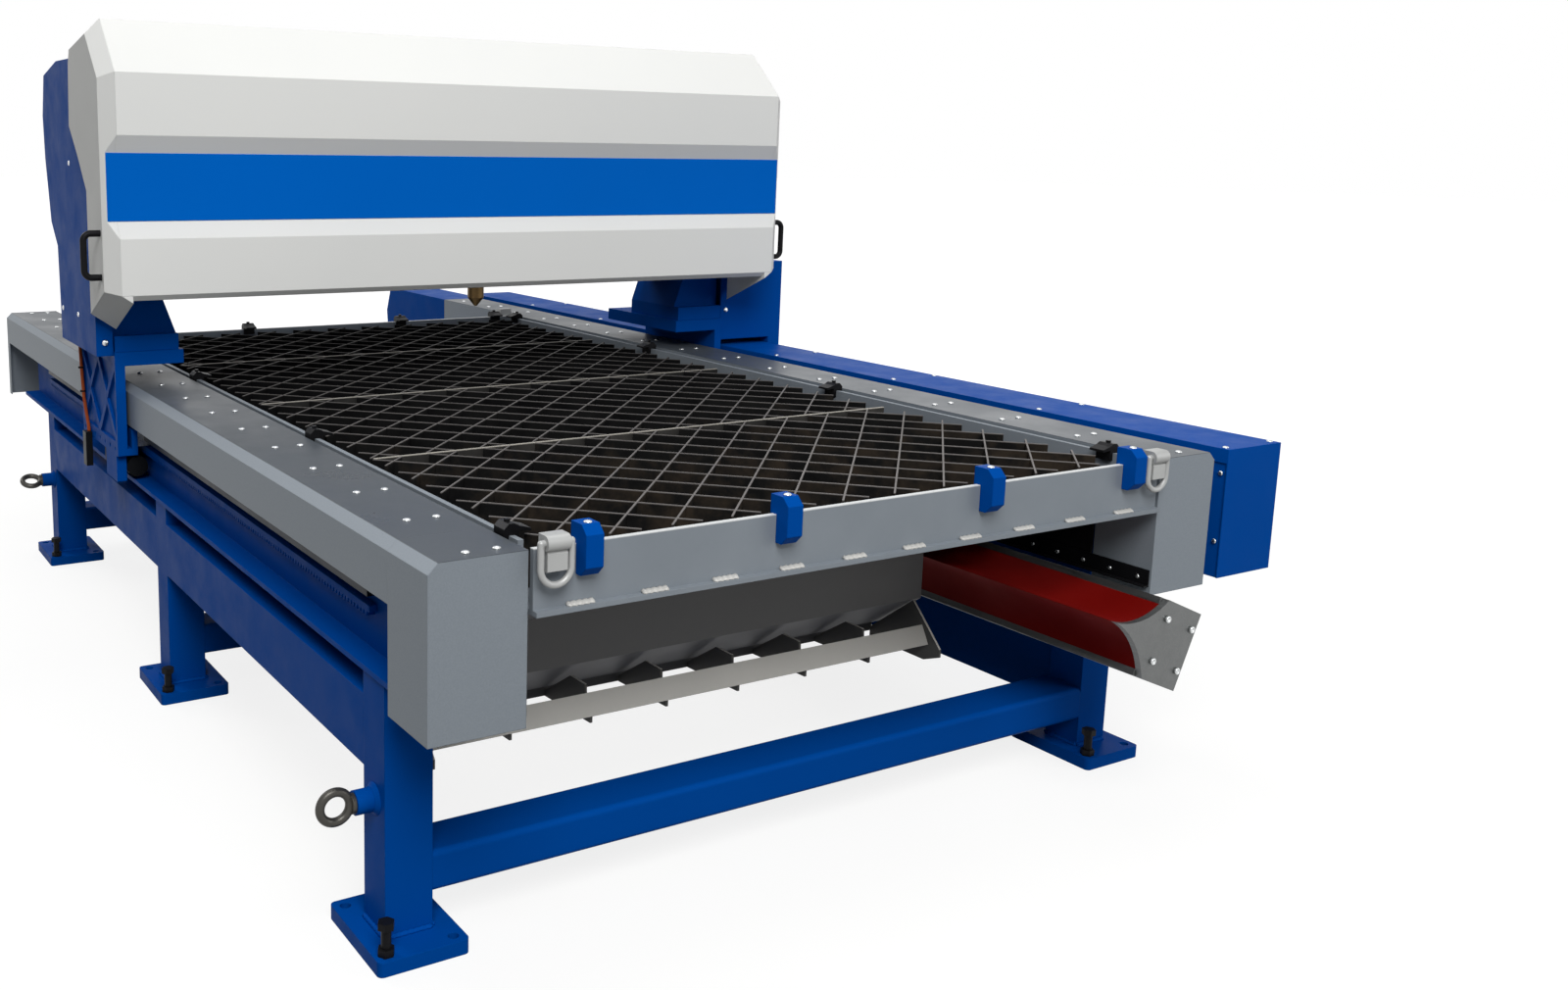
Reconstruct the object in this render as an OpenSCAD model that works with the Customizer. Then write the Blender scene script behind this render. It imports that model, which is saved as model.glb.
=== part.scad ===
// CNC plasma cutting table: welded floor frame, diagonal slat grate, moving gantry with a hinged hood.
// Millimetres. +X runs across the table, +Y to the rear, +Z up from the floor.
// The origin is on the floor, between the two middle legs.

/* [Floor frame] */
// Distance between leg pairs along the table
leg_pitch = 1485; // [1400:5:1560]
// Distance between the left and right leg centres
leg_span = 1928; // [1900:2:1960]
// Outside of the square leg tube
leg_side = 100; // [90:1:110]
// Wall of the frame tubes
tube_wall = 6; // [4:0.5:10]
// Height of the leg tops
leg_top_z = 540; // [520:1:550]
// Foot plate size across the table
foot_w = 190; // [170:1:220]
// Foot plate size along the table
foot_l = 250; // [220:1:290]
// Foot plate thickness
foot_t = 30; // [20:1:40]
// Foot plate corner radius
foot_r = 12; // [6:1:20]
// Hole centre to the plate edge
foot_inset = 25; // [20:1:32]
// Anchor hole diameter
foot_hole_d = 22; // [18:0.5:26]
// Depth of the low cross tube along the table
cross_depth = 120; // [100:1:140]
// Height of the low cross tube
cross_h = 84; // [70:1:100]
// Underside of the low cross tube
cross_z = 100; // [60:1:140]
// Corner radius of the low cross tube
cross_r = 12; // [8:1:18]
// Width of the low side beam
low_beam_w = 80; // [60:1:95]
// Height of the low side beam
low_beam_h = 146; // [120:1:160]
// Top of the low side beam below the leg tops
low_beam_drop = 50; // [40:1:60]
// Height of the deep lower beams on the right
right_beam_h = 378; // [350:2:390]

/* [Levelling screws and lifting eyes] */
// Levelling screw diameter
level_d = 20; // [14:0.5:21]
// Levelling screw length above the foot plate
level_rise = 68; // [55:1:90]
// Width over the corners of the screw head and lock nut
level_hex_d = 34; // [26:1:38]
// Height of the screw head and of the lock nut
level_hex_h = 15; // [10:1:20]
// Diameter of the welded eye bolt boss
boss_d = 48; // [40:1:60]
// Length of the welded eye bolt boss
boss_len = 42; // [30:1:55]
// Eye bolts below the low side beam
eye_drop = 49; // [40:1:60]
// Outside diameter of the eye ring
eye_d = 78; // [66:1:90]
// Bar diameter of the eye ring
eye_bar_d = 18; // [14:0.5:22]
// Collar diameter of the eye bolt
eye_collar_d = 40; // [30:1:46]
// Collar length of the eye bolt
eye_collar_len = 8; // [5:0.5:12]

/* [Side beams and rails] */
// Reach of the grate supports inside the beam flange
ledge_reach = 119; // [105:1:130]
// Thickness of the grate supports
support_t = 8; // [6:0.5:10]
// Height of the rolled side beam
beam_h = 250; // [240:1:252]
// Flange width of the side beam
flange_w = 110; // [106:1:112]
// Flange thickness of the side beam
flange_t = 12; // [9:0.5:14]
// Web thickness of the side beam
web_t = 8; // [6:0.5:10]
// Side beams behind the rear leg centres
beam_over = 460; // [420:5:500]
// Front end of the side beams behind the guard front
beam_setback = 40; // [20:1:60]
// Guide rail width
rail_w = 24; // [20:1:26]
// Guide rail height off the web
rail_t = 22; // [18:1:24]
// Height of the bearing blocks
bearing_h = 58; // [50:1:66]
// Gap between the rack and the bearing blocks
block_gap = 2; // [1:0.5:4]
// Rack and rail ends inside the beam ends
rack_inset = 323; // [310:1:335]
// Tooth module of the long racks
rack_module = 5; // [4.8:0.1:5.1]
// Rack width off the web
rack_w = 18; // [14:1:20]
// Rack body above the tooth roots
rack_body = 14; // [10:1:16]
// Teeth of the drive pinion
pinion_teeth = 14; // [13:1:14]
// Pinion shaft diameter
shaft_d = 20; // [14:1:24]

/* [Guards] */
// Guards ahead of the front leg centres
front_over = 277; // [250:1:300]
// Left guard behind the side beams
rear_over = 263; // [230:1:290]
// Right guard shorter than the left one
right_short = 199; // [170:1:230]
// Outer face of each guard from the beam flange
guard_gap = 15; // [12:0.5:18]
// Overhang of each guard inside the beam flange
guard_inner = 69; // [60:1:76]
// Guard top above the side beam
guard_rise = 44; // [36:1:52]
// Bevel along the outer top edge
guard_bevel = 20; // [12:1:26]
// Outer side strip above the carriage upstand
strip_clear = 8; // [6:0.5:10]
// End boxes below the leg tops
end_box_drop = 34; // [24:1:44]
// Length of the front end boxes
end_box_len = 166; // [150:1:180]
// Length of the rear end cap
end_cap_len = 40; // [25:1:60]
// Guard sheet thickness
guard_t = 3; // [2:0.5:4]
// Width of the bar between the beam and the guard
spacer_w = 100; // [90:1:110]

/* [Cable channel] */
// Gap between the carriage and the cable channel
channel_clear = 11; // [8:0.5:14]
// Width of the cable channel
channel_w = 203; // [195:1:206]
// Height of the cable channel
channel_h = 319; // [300:1:322]
// Sheet of the channel and its lid
channel_t = 3; // [2:0.5:4]
// Height of the lid flanges
lid_flange = 35; // [25:1:40]
// Height of the slot below the lid for the chain arm
arm_slot = 30; // [26:1:36]
// Length of the rear junction box
junction_len = 645; // [560:5:700]
// Height of the rear junction box
junction_h = 274; // [240:1:300]

/* [Grate] */
// Length of the grate from the front plate to the rear plate
grate_len = 3102; // [3080:2:3120]
// Gap between the guards and the plate ends
plate_gap = 10; // [6:0.5:14]
// Thickness of the grate plates and side bars
plate_t = 12; // [8:0.5:14]
// Thickness of the grate flanges
ledge_t = 10; // [8:0.5:12]
// Inner flange depth of the front and rear plates
flange_in = 63; // [50:1:80]
// Front lip of the grate flange
flange_lip = 14; // [8:1:20]
// Top of the side bars below the guard top
bar_drop = 4; // [2:0.5:8]
// Gap between the guards and the side bars
bar_gap = 20; // [16:0.5:24]
// Reach of the side bar flange inside the bar
bar_foot = 50; // [40:1:58]
// First section bar behind the guard front
section_first = 840; // [820:5:860]
// Length of the last slat section
section_last = 722; // [690:1:760]
// Web thickness of the section bars
section_t = 6; // [4:0.5:8]
// Slat thickness
slat_t = 4; // [3:0.5:6]
// Slat height
slat_h = 102; // [90:1:104]
// Slat tops below the top of the front plate
slat_drop = 10; // [6:1:14]
// Square spacing between parallel slats
slat_pitch = 98; // [90:1:130]
// Rest of the slat ends on the side bar flange
slat_rest = 5; // [3:0.5:8]
// Slat ends behind the front plate
slat_setback = 48; // [40:1:60]
// Free slot around a crossing slat
slot_gap = 1; // [0.6:0.1:2]

/* [Edge fittings] */
// Width of the blue edge hooks
hook_w = 37; // [30:1:46]
// Rise of the edge hooks over the plate
hook_rise = 38; // [30:1:46]
// Drop of the edge hooks in front of the plate
hook_drop = 56; // [46:1:62]
// Thickness of the edge hook legs
hook_t = 34; // [28:0.5:40]
// Lip of a hook behind the front plate
hook_lip = 6; // [4:0.5:9]
// Inner pair of edge hooks from the table centre
hook_in_x = 274; // [240:1:300]
// Gap between the outer edge hooks and the lifting rings
hook_gap = 16; // [10:0.5:20]
// Lifting rings inside the plate ends
ring_end = 33; // [30:1:38]
// Bar diameter of the lifting rings
ring_bar_d = 13; // [10:0.5:14]
// Width of the lifting rings between bar centres
ring_w = 62; // [56:1:66]
// Straight length of the lifting rings
ring_len = 46; // [40:1:54]
// Height of the ring pivots above the plate top
ring_rise = 14; // [10:0.5:20]
// Reach of the ring pivots off the plate face
ring_reach = 22; // [20:0.5:28]
// Side gap of the lifting rings at their brackets
ring_gap = 1; // [0.6:0.1:1.5]
// Wall of the ring bracket around the bar
ring_lug_wall = 8; // [6:0.5:10]
// Depth of the block under the ring bar, from the plate
ring_block_t = 28; // [25:0.5:31]
// Fall of the block below the plate top
ring_block_h = 46; // [40:1:48]
// Length of a sheet clamp along the bar
clamp_len = 40; // [30:1:50]
// Rise of a sheet clamp above its bar
clamp_rise = 22; // [16:1:28]
// Reach of the clamp finger over the grate
clamp_reach = 34; // [25:1:40]
// Inner pair of rear clamps from the table centre
clamp_in_x = 313; // [290:1:340]
// Gap between the outer rear clamps and the lifting rings
clamp_gap = 2.5; // [2:0.5:6]
// First side clamp behind the guard front
clamp_first = 128; // [100:1:160]
// Last side clamp in front of the rear plate
clamp_last = 64; // [50:1:90]

/* [Slag hopper] */
// Hopper sheet thickness
hopper_t = 4; // [3:0.5:6]
// Front wall of the hopper behind the guard front
hopper_front = 388; // [360:2:420]
// Depth of the hopper below the grate supports
hopper_h = 269; // [240:1:290]
// Depth of the hopper chutes
chute_h = 152; // [130:1:170]
// Reach of the sloping throat behind the hopper front
throat_back = 134; // [120:1:150]
// Fall of the throat below the hopper foot
throat_fall = 98; // [85:1:110]
// Gap between the hopper and the rubber lips
hopper_gap = 78; // [60:1:90]
// Gap between the hopper and the side skirt
skirt_gap = 8; // [6:0.5:12]
// Ladder frame beyond the hopper on the left
ladder_left = 54; // [40:1:60]
// Ladder frame short of the hopper on the right
ladder_right = 20; // [10:1:30]
// Bar height of the ladder frame
ladder_bar_h = 50; // [43:1:56]
// Reach of the front bar before the hopper front
ladder_front = 39; // [34:1:46]
// Drop of the front bar below the hopper foot
ladder_drop = 56; // [50:1:64]
// Lean of the front bar from upright, degrees
ladder_lean = 28.5; // [24:0.5:33]
// Drop of the end plates below the throat edge
ladder_low = 44; // [38:1:50]
// Thickness of the ladder bars and fins
ladder_t = 6; // [4:0.5:8]
// Number of ladder fins
ladder_fins = 6; // [4:1:8]

/* [Suction rail] */
// Width of the suction rail profile
duct_w = 138; // [130:1:142]
// Height of the suction rail profile
duct_h = 187; // [175:1:190]
// Wall of the suction rail profile
duct_t = 6; // [4:0.5:8]
// Tilt of the suction rail
duct_tilt = 23.5; // [21:0.5:26]
// Centre of the suction rail from the right leg centres
duct_in = 200; // [180:1:220]
// Centre of the suction rail below the leg tops
duct_drop = 106; // [95:1:116]
// Reach of the rubber lips beyond the profile
lip_reach = 140; // [120:1:145]
// Thickness of the rubber lips
lip_t = 5; // [4:0.5:8]
// Hollow of the rubber lips
lip_sag = 17; // [12:1:22]
// Return flange of the rail beside each lip
rail_lip = 16; // [12:0.5:20]
// Thickness of the rail end plates
duct_end_t = 15; // [10:1:20]
// Overhang of the rail in front of the guards
duct_front = 120; // [80:5:160]
// Rear end of the rail behind the rear leg centres
duct_over = 45; // [42:1:80]

/* [Gantry] */
// Front of the gantry carriages behind the middle legs
car_front = 230; // [224:1:236]
// Length of the gantry carriages
car_len = 440; // [430:1:460]
// Clearance between guard and carriage plate
car_clear = 9; // [8:0.5:10]
// Thickness of the carriage side plate
car_plate = 28; // [26:0.5:29]
// Thickness of the carriage bottom arm
car_arm_t = 20; // [14:1:21]
// Clearance over the guard top
car_lift = 58; // [40:1:70]
// Thickness of the carriage top plate
car_top_t = 40; // [30:1:45]
// Reach of the carriage top plate inside the beam flange
car_reach = 36; // [28:1:44]
// Depth of the lattice pockets
pocket_d = 8; // [4:0.5:12]
// Rib width between lattice pockets
pocket_rib = 12; // [8:1:18]
// Drive motor diameter
motor_d = 60; // [50:1:61]
// Drive motor length
motor_len = 180; // [140:1:182]
// Height of the pedestal block
block_h = 46; // [36:1:56]
// Depth of the gantry beam
bridge_d = 200; // [180:1:220]
// Height of the gantry beam
bridge_h = 250; // [245:1:260]
// Wall of the gantry beam
bridge_t = 8; // [6:0.5:10]
// Height of the pedestals
ped_h = 158; // [145:1:170]
// Wall of the pedestals
ped_wall = 12; // [8:1:16]
// Lean of the pedestals towards the covers
ped_lean = 52; // [40:1:60]
// Front face of the gantry beam behind the carriage front
bridge_setback = 68; // [66:1:74]
// Width of the side covers
cover_w = 47; // [44:1:48]
// Sheet of the side covers
cover_t = 3; // [2:0.5:4]
// Lap of the side covers below the carriage deck
cover_lap = 10; // [6:1:14]
// Depth of the side covers
cover_deep = 623; // [590:1:650]
// Height of the side covers
cover_rise = 835; // [815:1:850]
// Chain cover above the guard top
chain_h = 296; // [270:1:320]
// Width of the chain cover leg outside the channel
chain_leg = 51; // [40:1:60]
// Running clearance around the cable channel
chain_clear = 7; // [5:0.5:10]
// Diameter of the limit switch cable
cable_d = 10; // [8:0.5:12]

/* [Hood] */
// Front of the hood ahead of its pivot
pivot_back = 340; // [334:1:346]
// Thickness of the hood ears
ear_t = 17; // [14:0.5:20]
// Thickness of the hood ends and their bevel
hood_end_w = 38; // [36:0.5:44]
// Reach of a lobe inside its hood end
lobe_wide = 30; // [24:0.5:36]
// Sideways slope of a lobe under the hood end, degrees
lobe_side_slope = 34.7; // [30:0.1:38]
// Backward slope of a lobe, degrees
lobe_back_slope = 20.3; // [16:0.1:24]
// Sheet of the hood shell
hood_t = 3; // [2:0.5:4]
// Height of the hood face below the blue band
chin_h = 152; // [140:1:164]
// Depth and fall of the bent chin under the front
chin_back = 15; // [11:0.5:20]
// Height of the blue band recess
band_h = 273; // [260:1:285]
// Height of the hood face above the blue band
brow_h = 163; // [150:1:175]
// Depth of the blue band recess
band_depth = 27; // [20:1:34]
// Slope height at the edges of the recess
band_slope = 46; // [36:1:56]
// Sheet of the blue band
band_t = 2; // [1.5:0.5:3]
// Ridge above the hood face
ridge_rise = 144; // [130:1:156]
// Ridge above the hood pivot
ridge_over = 148; // [138:1:158]
// Ridge place behind the hood front
ridge_back = 148; // [140:1:156]
// Rear edge of the hood top behind the pivot
top_over = 5; // [3:0.5:8]
// Fall of the hood top from the ridge to its rear edge
top_fall = 32; // [24:1:36]
// Hood pivot behind the front of the side covers
pivot_in = 96; // [84:1:108]
// Hood pivot below the top of the side covers
pivot_drop = 57; // [48:1:66]
// Hood pivot pin diameter
pivot_d = 20; // [16:0.5:24]
// Clearance between side cover and hood ear
ear_gap = 3; // [2:0.5:4]
// Bar diameter of the hood handles
handle_d = 18; // [14:0.5:20]
// Length of the hood handles
handle_len = 118; // [100:1:130]
// Reach of the hood handles
handle_reach = 45; // [38:1:52]
// Hood handles behind the hood front
handle_in = 61; // [50:1:75]
// Hood handles above the lower edge of the hood
handle_up = 47; // [38:1:60]

/* [Cutting head] */
// Cutting head place across the table
head_x = 60; // [40:1:80]
// Width of the head plate
head_w = 260; // [250:1:280]
// Thickness of the head plate
head_t = 20; // [14:1:22]
// Width of the cross rails
cross_rail_w = 20; // [16:1:22]
// Height of the cross rails off the beam
cross_rail_t = 18; // [16:1:20]
// Tooth module of the cross rack
cross_module = 4; // [3.8:0.1:4]
// Teeth of the cross pinion
cross_teeth = 16; // [15:1:16]
// Diameter of the cross motor
cross_motor_d = 64; // [50:1:66]
// Length of the cross motor
cross_motor_len = 130; // [110:1:140]
// Gap between the torch and its slide
torch_gap = 21; // [16:0.5:26]
// Torch body diameter
torch_d = 44; // [40:1:48]
// Torch cap diameter
torch_cap_d = 52; // [50:1:60]
// Torch tip below the gantry beam in the raised place
tip_drop = 66; // [58:1:74]
// Torch body length above the cap
torch_len = 330; // [300:1:340]
// Cross rack ends inside the beam ends
cross_inset = 225; // [210:1:240]
// Cross rail ends inside the beam ends
cross_rail_inset = 78; // [60:1:100]
// Lower cross rail above the underside of the beam
cross_low = 35; // [30:1:42]
// Upper cross rail below the top of the beam
cross_high = 25; // [22:1:34]
// Gap between the cross pinion and the upper bearings
cross_gap = 14; // [8:1:20]
// Gap between the cross motor and the torch guides
motor_gap = 10.5; // [8:0.5:14]
// Cross bearings inside the edges of the head plate
bearing_in = 31; // [27:1:40]

/* [Hidden] */
// Fineness of round pieces
$fn = 48;
// Overrun of cuts past the faces that they open
over = 5;
// Face gap between pieces that only rest on each other
seat = 0.3;
// Running gap of sliding pieces
run_gap = 0.3;
// Radial gap of shafts and pins
pin_gap = 0.05;

// Paint and metal colours
blue = [0.04, 0.25, 0.62];
grey_paint = [0.48, 0.50, 0.53];
steel = [0.62, 0.63, 0.64];
dark_steel = [0.24, 0.24, 0.25];
black = [0.06, 0.06, 0.07];
white = [0.93, 0.93, 0.91];
rubber_red = [0.48, 0.05, 0.04];

// Overall lengths from the middle legs
front_reach = leg_pitch + front_over;
beam_rear = leg_pitch + beam_over;
rear_reach = beam_rear + rear_over;
right_rear_reach = rear_reach - right_short;

// Floor frame
leg_x = leg_span / 2;
leg_out = leg_x + leg_side / 2;
leg_in = leg_x - leg_side / 2;
leg_ys = [-leg_pitch, 0, leg_pitch];
hole_dx = foot_w / 2 - foot_inset;
hole_dy = foot_l / 2 - foot_inset;
low_beam_z = leg_top_z - low_beam_drop - low_beam_h;
eye_z = low_beam_z - eye_drop;

// Side beams, measured on the right-hand beam
beam_out = leg_x + flange_w / 2;
beam_in = leg_x - flange_w / 2;
beam_top = leg_top_z + beam_h;
beam_front = -front_reach + beam_setback;
web_out = leg_x + web_t / 2;
ledge_in = beam_in - ledge_reach;

// Rack and pinion, with the pinion hung under the rack
pressure_angle = 20;
rack_addendum_share = 0.76;
dedendum_share = 1.25;
tooth_slack_share = 0.12;
pitch_r = rack_module * pinion_teeth / 2;
pinion_z = leg_top_z + flange_t + pitch_r + rack_module + 3 * run_gap;
rack_pitch_z = pinion_z + pitch_r;
rack_top = rack_pitch_z + dedendum_share * rack_module + rack_body;
rack_y0 = beam_front + rack_inset;
rack_y1 = beam_rear - rack_inset;

// Bearing blocks stand over the rack, between the carriage arm and the side strip
block_low = rack_top + block_gap;
upstand_top = block_low + bearing_h;
rail_z = (block_low + upstand_top) / 2;
strip_z = upstand_top + strip_clear;

// Guards, measured on the right-hand guard
guard_out = beam_out + guard_gap;
guard_in = beam_in - guard_inner;
guard_top = beam_top + guard_rise;
end_box_z = leg_top_z - end_box_drop;
spacer_x = leg_x - spacer_w / 2;

// Gantry carriages, measured on the right-hand carriage
car_i = guard_out + car_clear;
car_o = car_i + car_plate;
car_in = beam_in - car_reach;
car_rear = car_front + car_len;
car_z = block_low - car_arm_t;
car_top_z = guard_top + car_lift;
car_deck = car_top_z + car_top_t;
upstand_t = car_plate * 0.6;
upstand_in = guard_out - guard_t - run_gap - upstand_t;
block_len = car_len / 5;
pinion_y = car_front + car_len * 0.55;

// Cable channel
channel_in = car_o + channel_clear;
channel_out = channel_in + channel_w;
channel_z = guard_top - channel_h;

// Grate, from the floor of its flanges to the slat tops
grate_y0 = -front_reach;
grate_y1 = grate_y0 + grate_len;
flange_top = guard_top - slat_drop - slat_h;
flange_z = flange_top - ledge_t;
support_z = flange_z;
ledge_y0 = grate_y0 + end_box_len + seat;
plate_half = guard_in - plate_gap;
bar_out = guard_in - bar_gap;
bar_flange_in = bar_out - bar_foot;
slat_half = bar_flange_in + slat_rest;
section_pitch = (grate_len - section_first - section_last) / 2;
section_ys = [for (i = [0 : 2]) grate_y0 + section_first + i * section_pitch];
slat_y0 = grate_y0 + plate_t + slat_setback;
slat_y1 = grate_y1 - plate_t - flange_lip;
slat_half_step = slat_pitch / sqrt(2);

// Places of the fittings along the grate edges
ring_x = plate_half - ring_end;
ring_side = ring_x - ring_w / 2 - ring_bar_d / 2;
hook_out_x = ring_side - hook_gap - hook_w / 2;
clamp_out_x = ring_side - clamp_gap - clamp_len / 2;
clamp_pitch = (grate_len - clamp_first - clamp_last) / 3;

// Suction rail, in its own tilted frame
duct_y0 = grate_y0 - duct_front;
duct_rear = leg_pitch + duct_over;
duct_x = leg_x - duct_in;
duct_z = leg_top_z - duct_drop;
lip_ridge_x = duct_x - (duct_w / 2 + lip_reach) * cos(duct_tilt);
lip_chord = norm([lip_reach, duct_h / 2 - rail_lip]);
lip_r = lip_chord * lip_chord / (8 * lip_sag) + lip_sag / 2;

// Hopper under the grate supports
hopper_y0 = grate_y0 + hopper_front;
hopper_y1 = grate_y1 - hopper_front + flange_in;
hopper_left = guard_in - skirt_gap;
hopper_right = lip_ridge_x - hopper_gap;
hopper_z = support_z - hopper_h;
chute_z = support_z - chute_h;

// Gantry beam, pedestals and side covers
bridge_z = car_deck + ped_h;
bridge_y0 = car_front + bridge_setback;
bridge_y1 = bridge_y0 + bridge_d;
cover_i = car_o + run_gap;
cover_o = cover_i + cover_w;
cover_front = car_front + cover_t * 4;
cover_z = car_deck - cover_lap;
cover_top = cover_z + cover_rise;
chain_top = guard_top + chain_h;
bridge_half = cover_o - cover_t;

// Hood, hung from its pivot
ear_in = cover_o + ear_gap;
hood_out = ear_in + ear_t;
hood_half = hood_out - hood_end_w;
pivot_y = cover_front + pivot_in;
pivot_z = cover_top - pivot_drop;
hood_front = pivot_y - pivot_back;
ridge_z = pivot_z + ridge_over;
hood_face_z = ridge_z - ridge_rise;
band_high_z = hood_face_z - brow_h;
band_low_z = band_high_z - band_h;
hood_z = band_low_z - chin_h;
end_back = cover_front - hood_end_w;
lobe_in = hood_half - lobe_wide;

// Cutting head
plate_y1 = bridge_y0 - cross_rail_t - cross_rail_t / 2;
plate_y0 = plate_y1 - head_t;
cross_pitch_r = cross_module * cross_teeth / 2;
rail_low_z = bridge_z + cross_low;
rail_high_z = bridge_z + bridge_h - cross_high;
bearing_half = cross_rail_w;
cross_axis_z = rail_high_z - bearing_half - cross_gap - cross_module - cross_pitch_r;
slide_half = torch_d * 0.75;
guide_w = cross_rail_w / 2;
guide_out = slide_half + run_gap + guide_w;
cross_pinion_x = head_x + guide_out + motor_gap + cross_motor_d / 2;
torch_y = plate_y0 - head_t - torch_gap - torch_d / 2;
torch_tip_z = bridge_z - tip_drop;

// Place a copy on each side of the table
module both_sides() {
    children();
    mirror([1, 0, 0]) children();
}

// Box between two corners
module box(a, b) {
    translate(a) cube(b - a);
}

// Extrude an X-Z outline along Y
module along_y(y0, y1) {
    translate([0, y1, 0]) rotate([90, 0, 0]) linear_extrude(y1 - y0) children();
}

// Extrude a Y-Z outline along X
module along_x(x0, x1) {
    translate([x0, 0, 0]) rotate([90, 0, 90]) linear_extrude(x1 - x0) children();
}

// Cylinder between two points of one axis
module rod_x(x0, x1, y, z, d) {
    translate([x0, y, z]) rotate([0, 90, 0]) cylinder(d = d, h = x1 - x0);
}
module rod_y(x, y0, y1, z, d) {
    translate([x, y1, z]) rotate([90, 0, 0]) cylinder(d = d, h = y1 - y0);
}

// Outline of a rounded rectangle about the origin
module rounded(w, h, r) {
    square([w - 2 * r, h], center = true);
    square([w, h - 2 * r], center = true);
    for (i = [-1, 1], j = [-1, 1]) translate([i * (w / 2 - r), j * (h / 2 - r)]) circle(r);
}

// Outline of a rectangular tube
module tube_outline(w, h, wall) {
    difference() {
        square([w, h], center = true);
        square([w - 2 * wall, h - 2 * wall], center = true);
    }
}

// Offsets of a line of points to their left, with mitred corners
function unit(v) = v / norm(v);
function left_of(a, b) = let (d = unit(b - a)) [-d[1], d[0]];
function mitre(n1, n2) = (n1 + n2) / (1 + n1 * n2);
function sheet_side(p, t) = [for (i = [0 : len(p) - 1])
    p[i] + t * (i == 0 ? left_of(p[0], p[1])
        : i == len(p) - 1 ? left_of(p[i - 1], p[i])
        : mitre(left_of(p[i - 1], p[i]), left_of(p[i], p[i + 1])))];
function backwards(p) = [for (i = [len(p) - 1 : -1 : 0]) p[i]];
function inset(p, t) = [for (i = [0 : len(p) - 1])
    let (a = p[(i + len(p) - 1) % len(p)], b = p[(i + 1) % len(p)])
    p[i] + t * mitre(left_of(a, p[i]), left_of(p[i], b))];

// Section of a folded sheet whose thickness lies to the left of the points
module folded(p, t) {
    polygon(concat(p, backwards(sheet_side(p, t))));
}

// Involute spur gear outline with one gap straight above the axis
function roll(a) = tan(a) * 180 / PI - a;
function flank_half(r, rb, half, base) = half + base - roll(acos(min(1, rb / r)));
module spur(module_size, teeth, slack) {
    r = module_size * teeth / 2;
    rb = r * cos(pressure_angle);
    tip = r + module_size;
    root = r - dedendum_share * module_size;
    half = 90 / teeth - slack / r * 90 / PI;
    steps = [for (k = [0 : 4]) max(rb, root) + (tip - max(rb, root)) * k / 4];
    polygon([for (i = [0 : teeth - 1]) let (c = 90 + (i + 0.5) * 360 / teeth) each concat(
        [root * [cos(c - 1.15 * flank_half(rb, rb, half, roll(pressure_angle))),
            sin(c - 1.15 * flank_half(rb, rb, half, roll(pressure_angle)))]],
        [for (s = steps) s * [cos(c - flank_half(s, rb, half, roll(pressure_angle))),
            sin(c - flank_half(s, rb, half, roll(pressure_angle)))]],
        [for (s = backwards(steps)) s * [cos(c + flank_half(s, rb, half, roll(pressure_angle))),
            sin(c + flank_half(s, rb, half, roll(pressure_angle)))]],
        [root * [cos(c + 1.15 * flank_half(rb, rb, half, roll(pressure_angle))),
            sin(c + 1.15 * flank_half(rb, rb, half, roll(pressure_angle)))]])]);
}

// Rack outline along the first axis, teeth down, with a tooth at the place called mesh
module rack_outline(s0, s1, mesh, pitch_level, module_size, body) {
    p = PI * module_size;
    add = rack_addendum_share * module_size;
    ded = dedendum_share * module_size;
    half = p / 4 - tooth_slack_share / 2 * module_size;
    lean = tan(pressure_angle);
    first = ceil((s0 - mesh) / p + 0.5);
    last = floor((s1 - mesh) / p - 0.5);
    polygon(concat([[s1, pitch_level + ded + body], [s0, pitch_level + ded + body], [s0, pitch_level + ded]],
        [for (k = [first : last]) let (c = mesh + k * p) each [
            [c - half - ded * lean, pitch_level + ded], [c - half + add * lean, pitch_level - add],
            [c + half - add * lean, pitch_level - add], [c + half + ded * lean, pitch_level + ded]]],
        [[s1, pitch_level + ded]]));
}

// Round tube swept along a line of points
function ring_at(p, i) = let (
    t = unit(i == 0 ? p[1] - p[0] : i == len(p) - 1 ? p[i] - p[i - 1] : p[i + 1] - p[i - 1]),
    u = unit(cross(t, [1, 0, 0])), v = cross(t, u)) [u, v];
module swept(p, d, sides) {
    n = len(p);
    pts = [for (i = [0 : n - 1]) let (f = ring_at(p, i)) for (k = [0 : sides - 1])
        p[i] + d / 2 * (cos(360 * k / sides) * f[0] + sin(360 * k / sides) * f[1])];
    walls = [for (i = [0 : n - 2], k = [0 : sides - 1])
        let (a = i * sides + k, b = i * sides + (k + 1) % sides)
        each [[a, b, b + sides], [a, b + sides, a + sides]]];
    ends = concat([for (k = [1 : sides - 2]) [0, k + 1, k]],
        [for (k = [1 : sides - 2]) [for (c = [0, k, k + 1]) (n - 1) * sides + c]]);
    polyhedron(points = pts, faces = concat(walls, ends));
}

// Floor frame

module legs() {
    color(blue) for (s = [-1, 1], y = leg_ys) {
        translate([s * leg_x, y, foot_t]) linear_extrude(leg_top_z - foot_t)
            tube_outline(leg_side, leg_side, tube_wall);
        if (y != 0) difference() {
            translate([s * leg_out, y, eye_z]) rotate([0, s * 90, 0]) cylinder(d = boss_d, h = boss_len);
            translate([s * leg_out, y, eye_z]) rotate([0, s * 90, 0])
                translate([0, 0, -over]) cylinder(d = eye_bar_d + 2 * pin_gap, h = boss_len + 2 * over);
        }
    }
}

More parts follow.
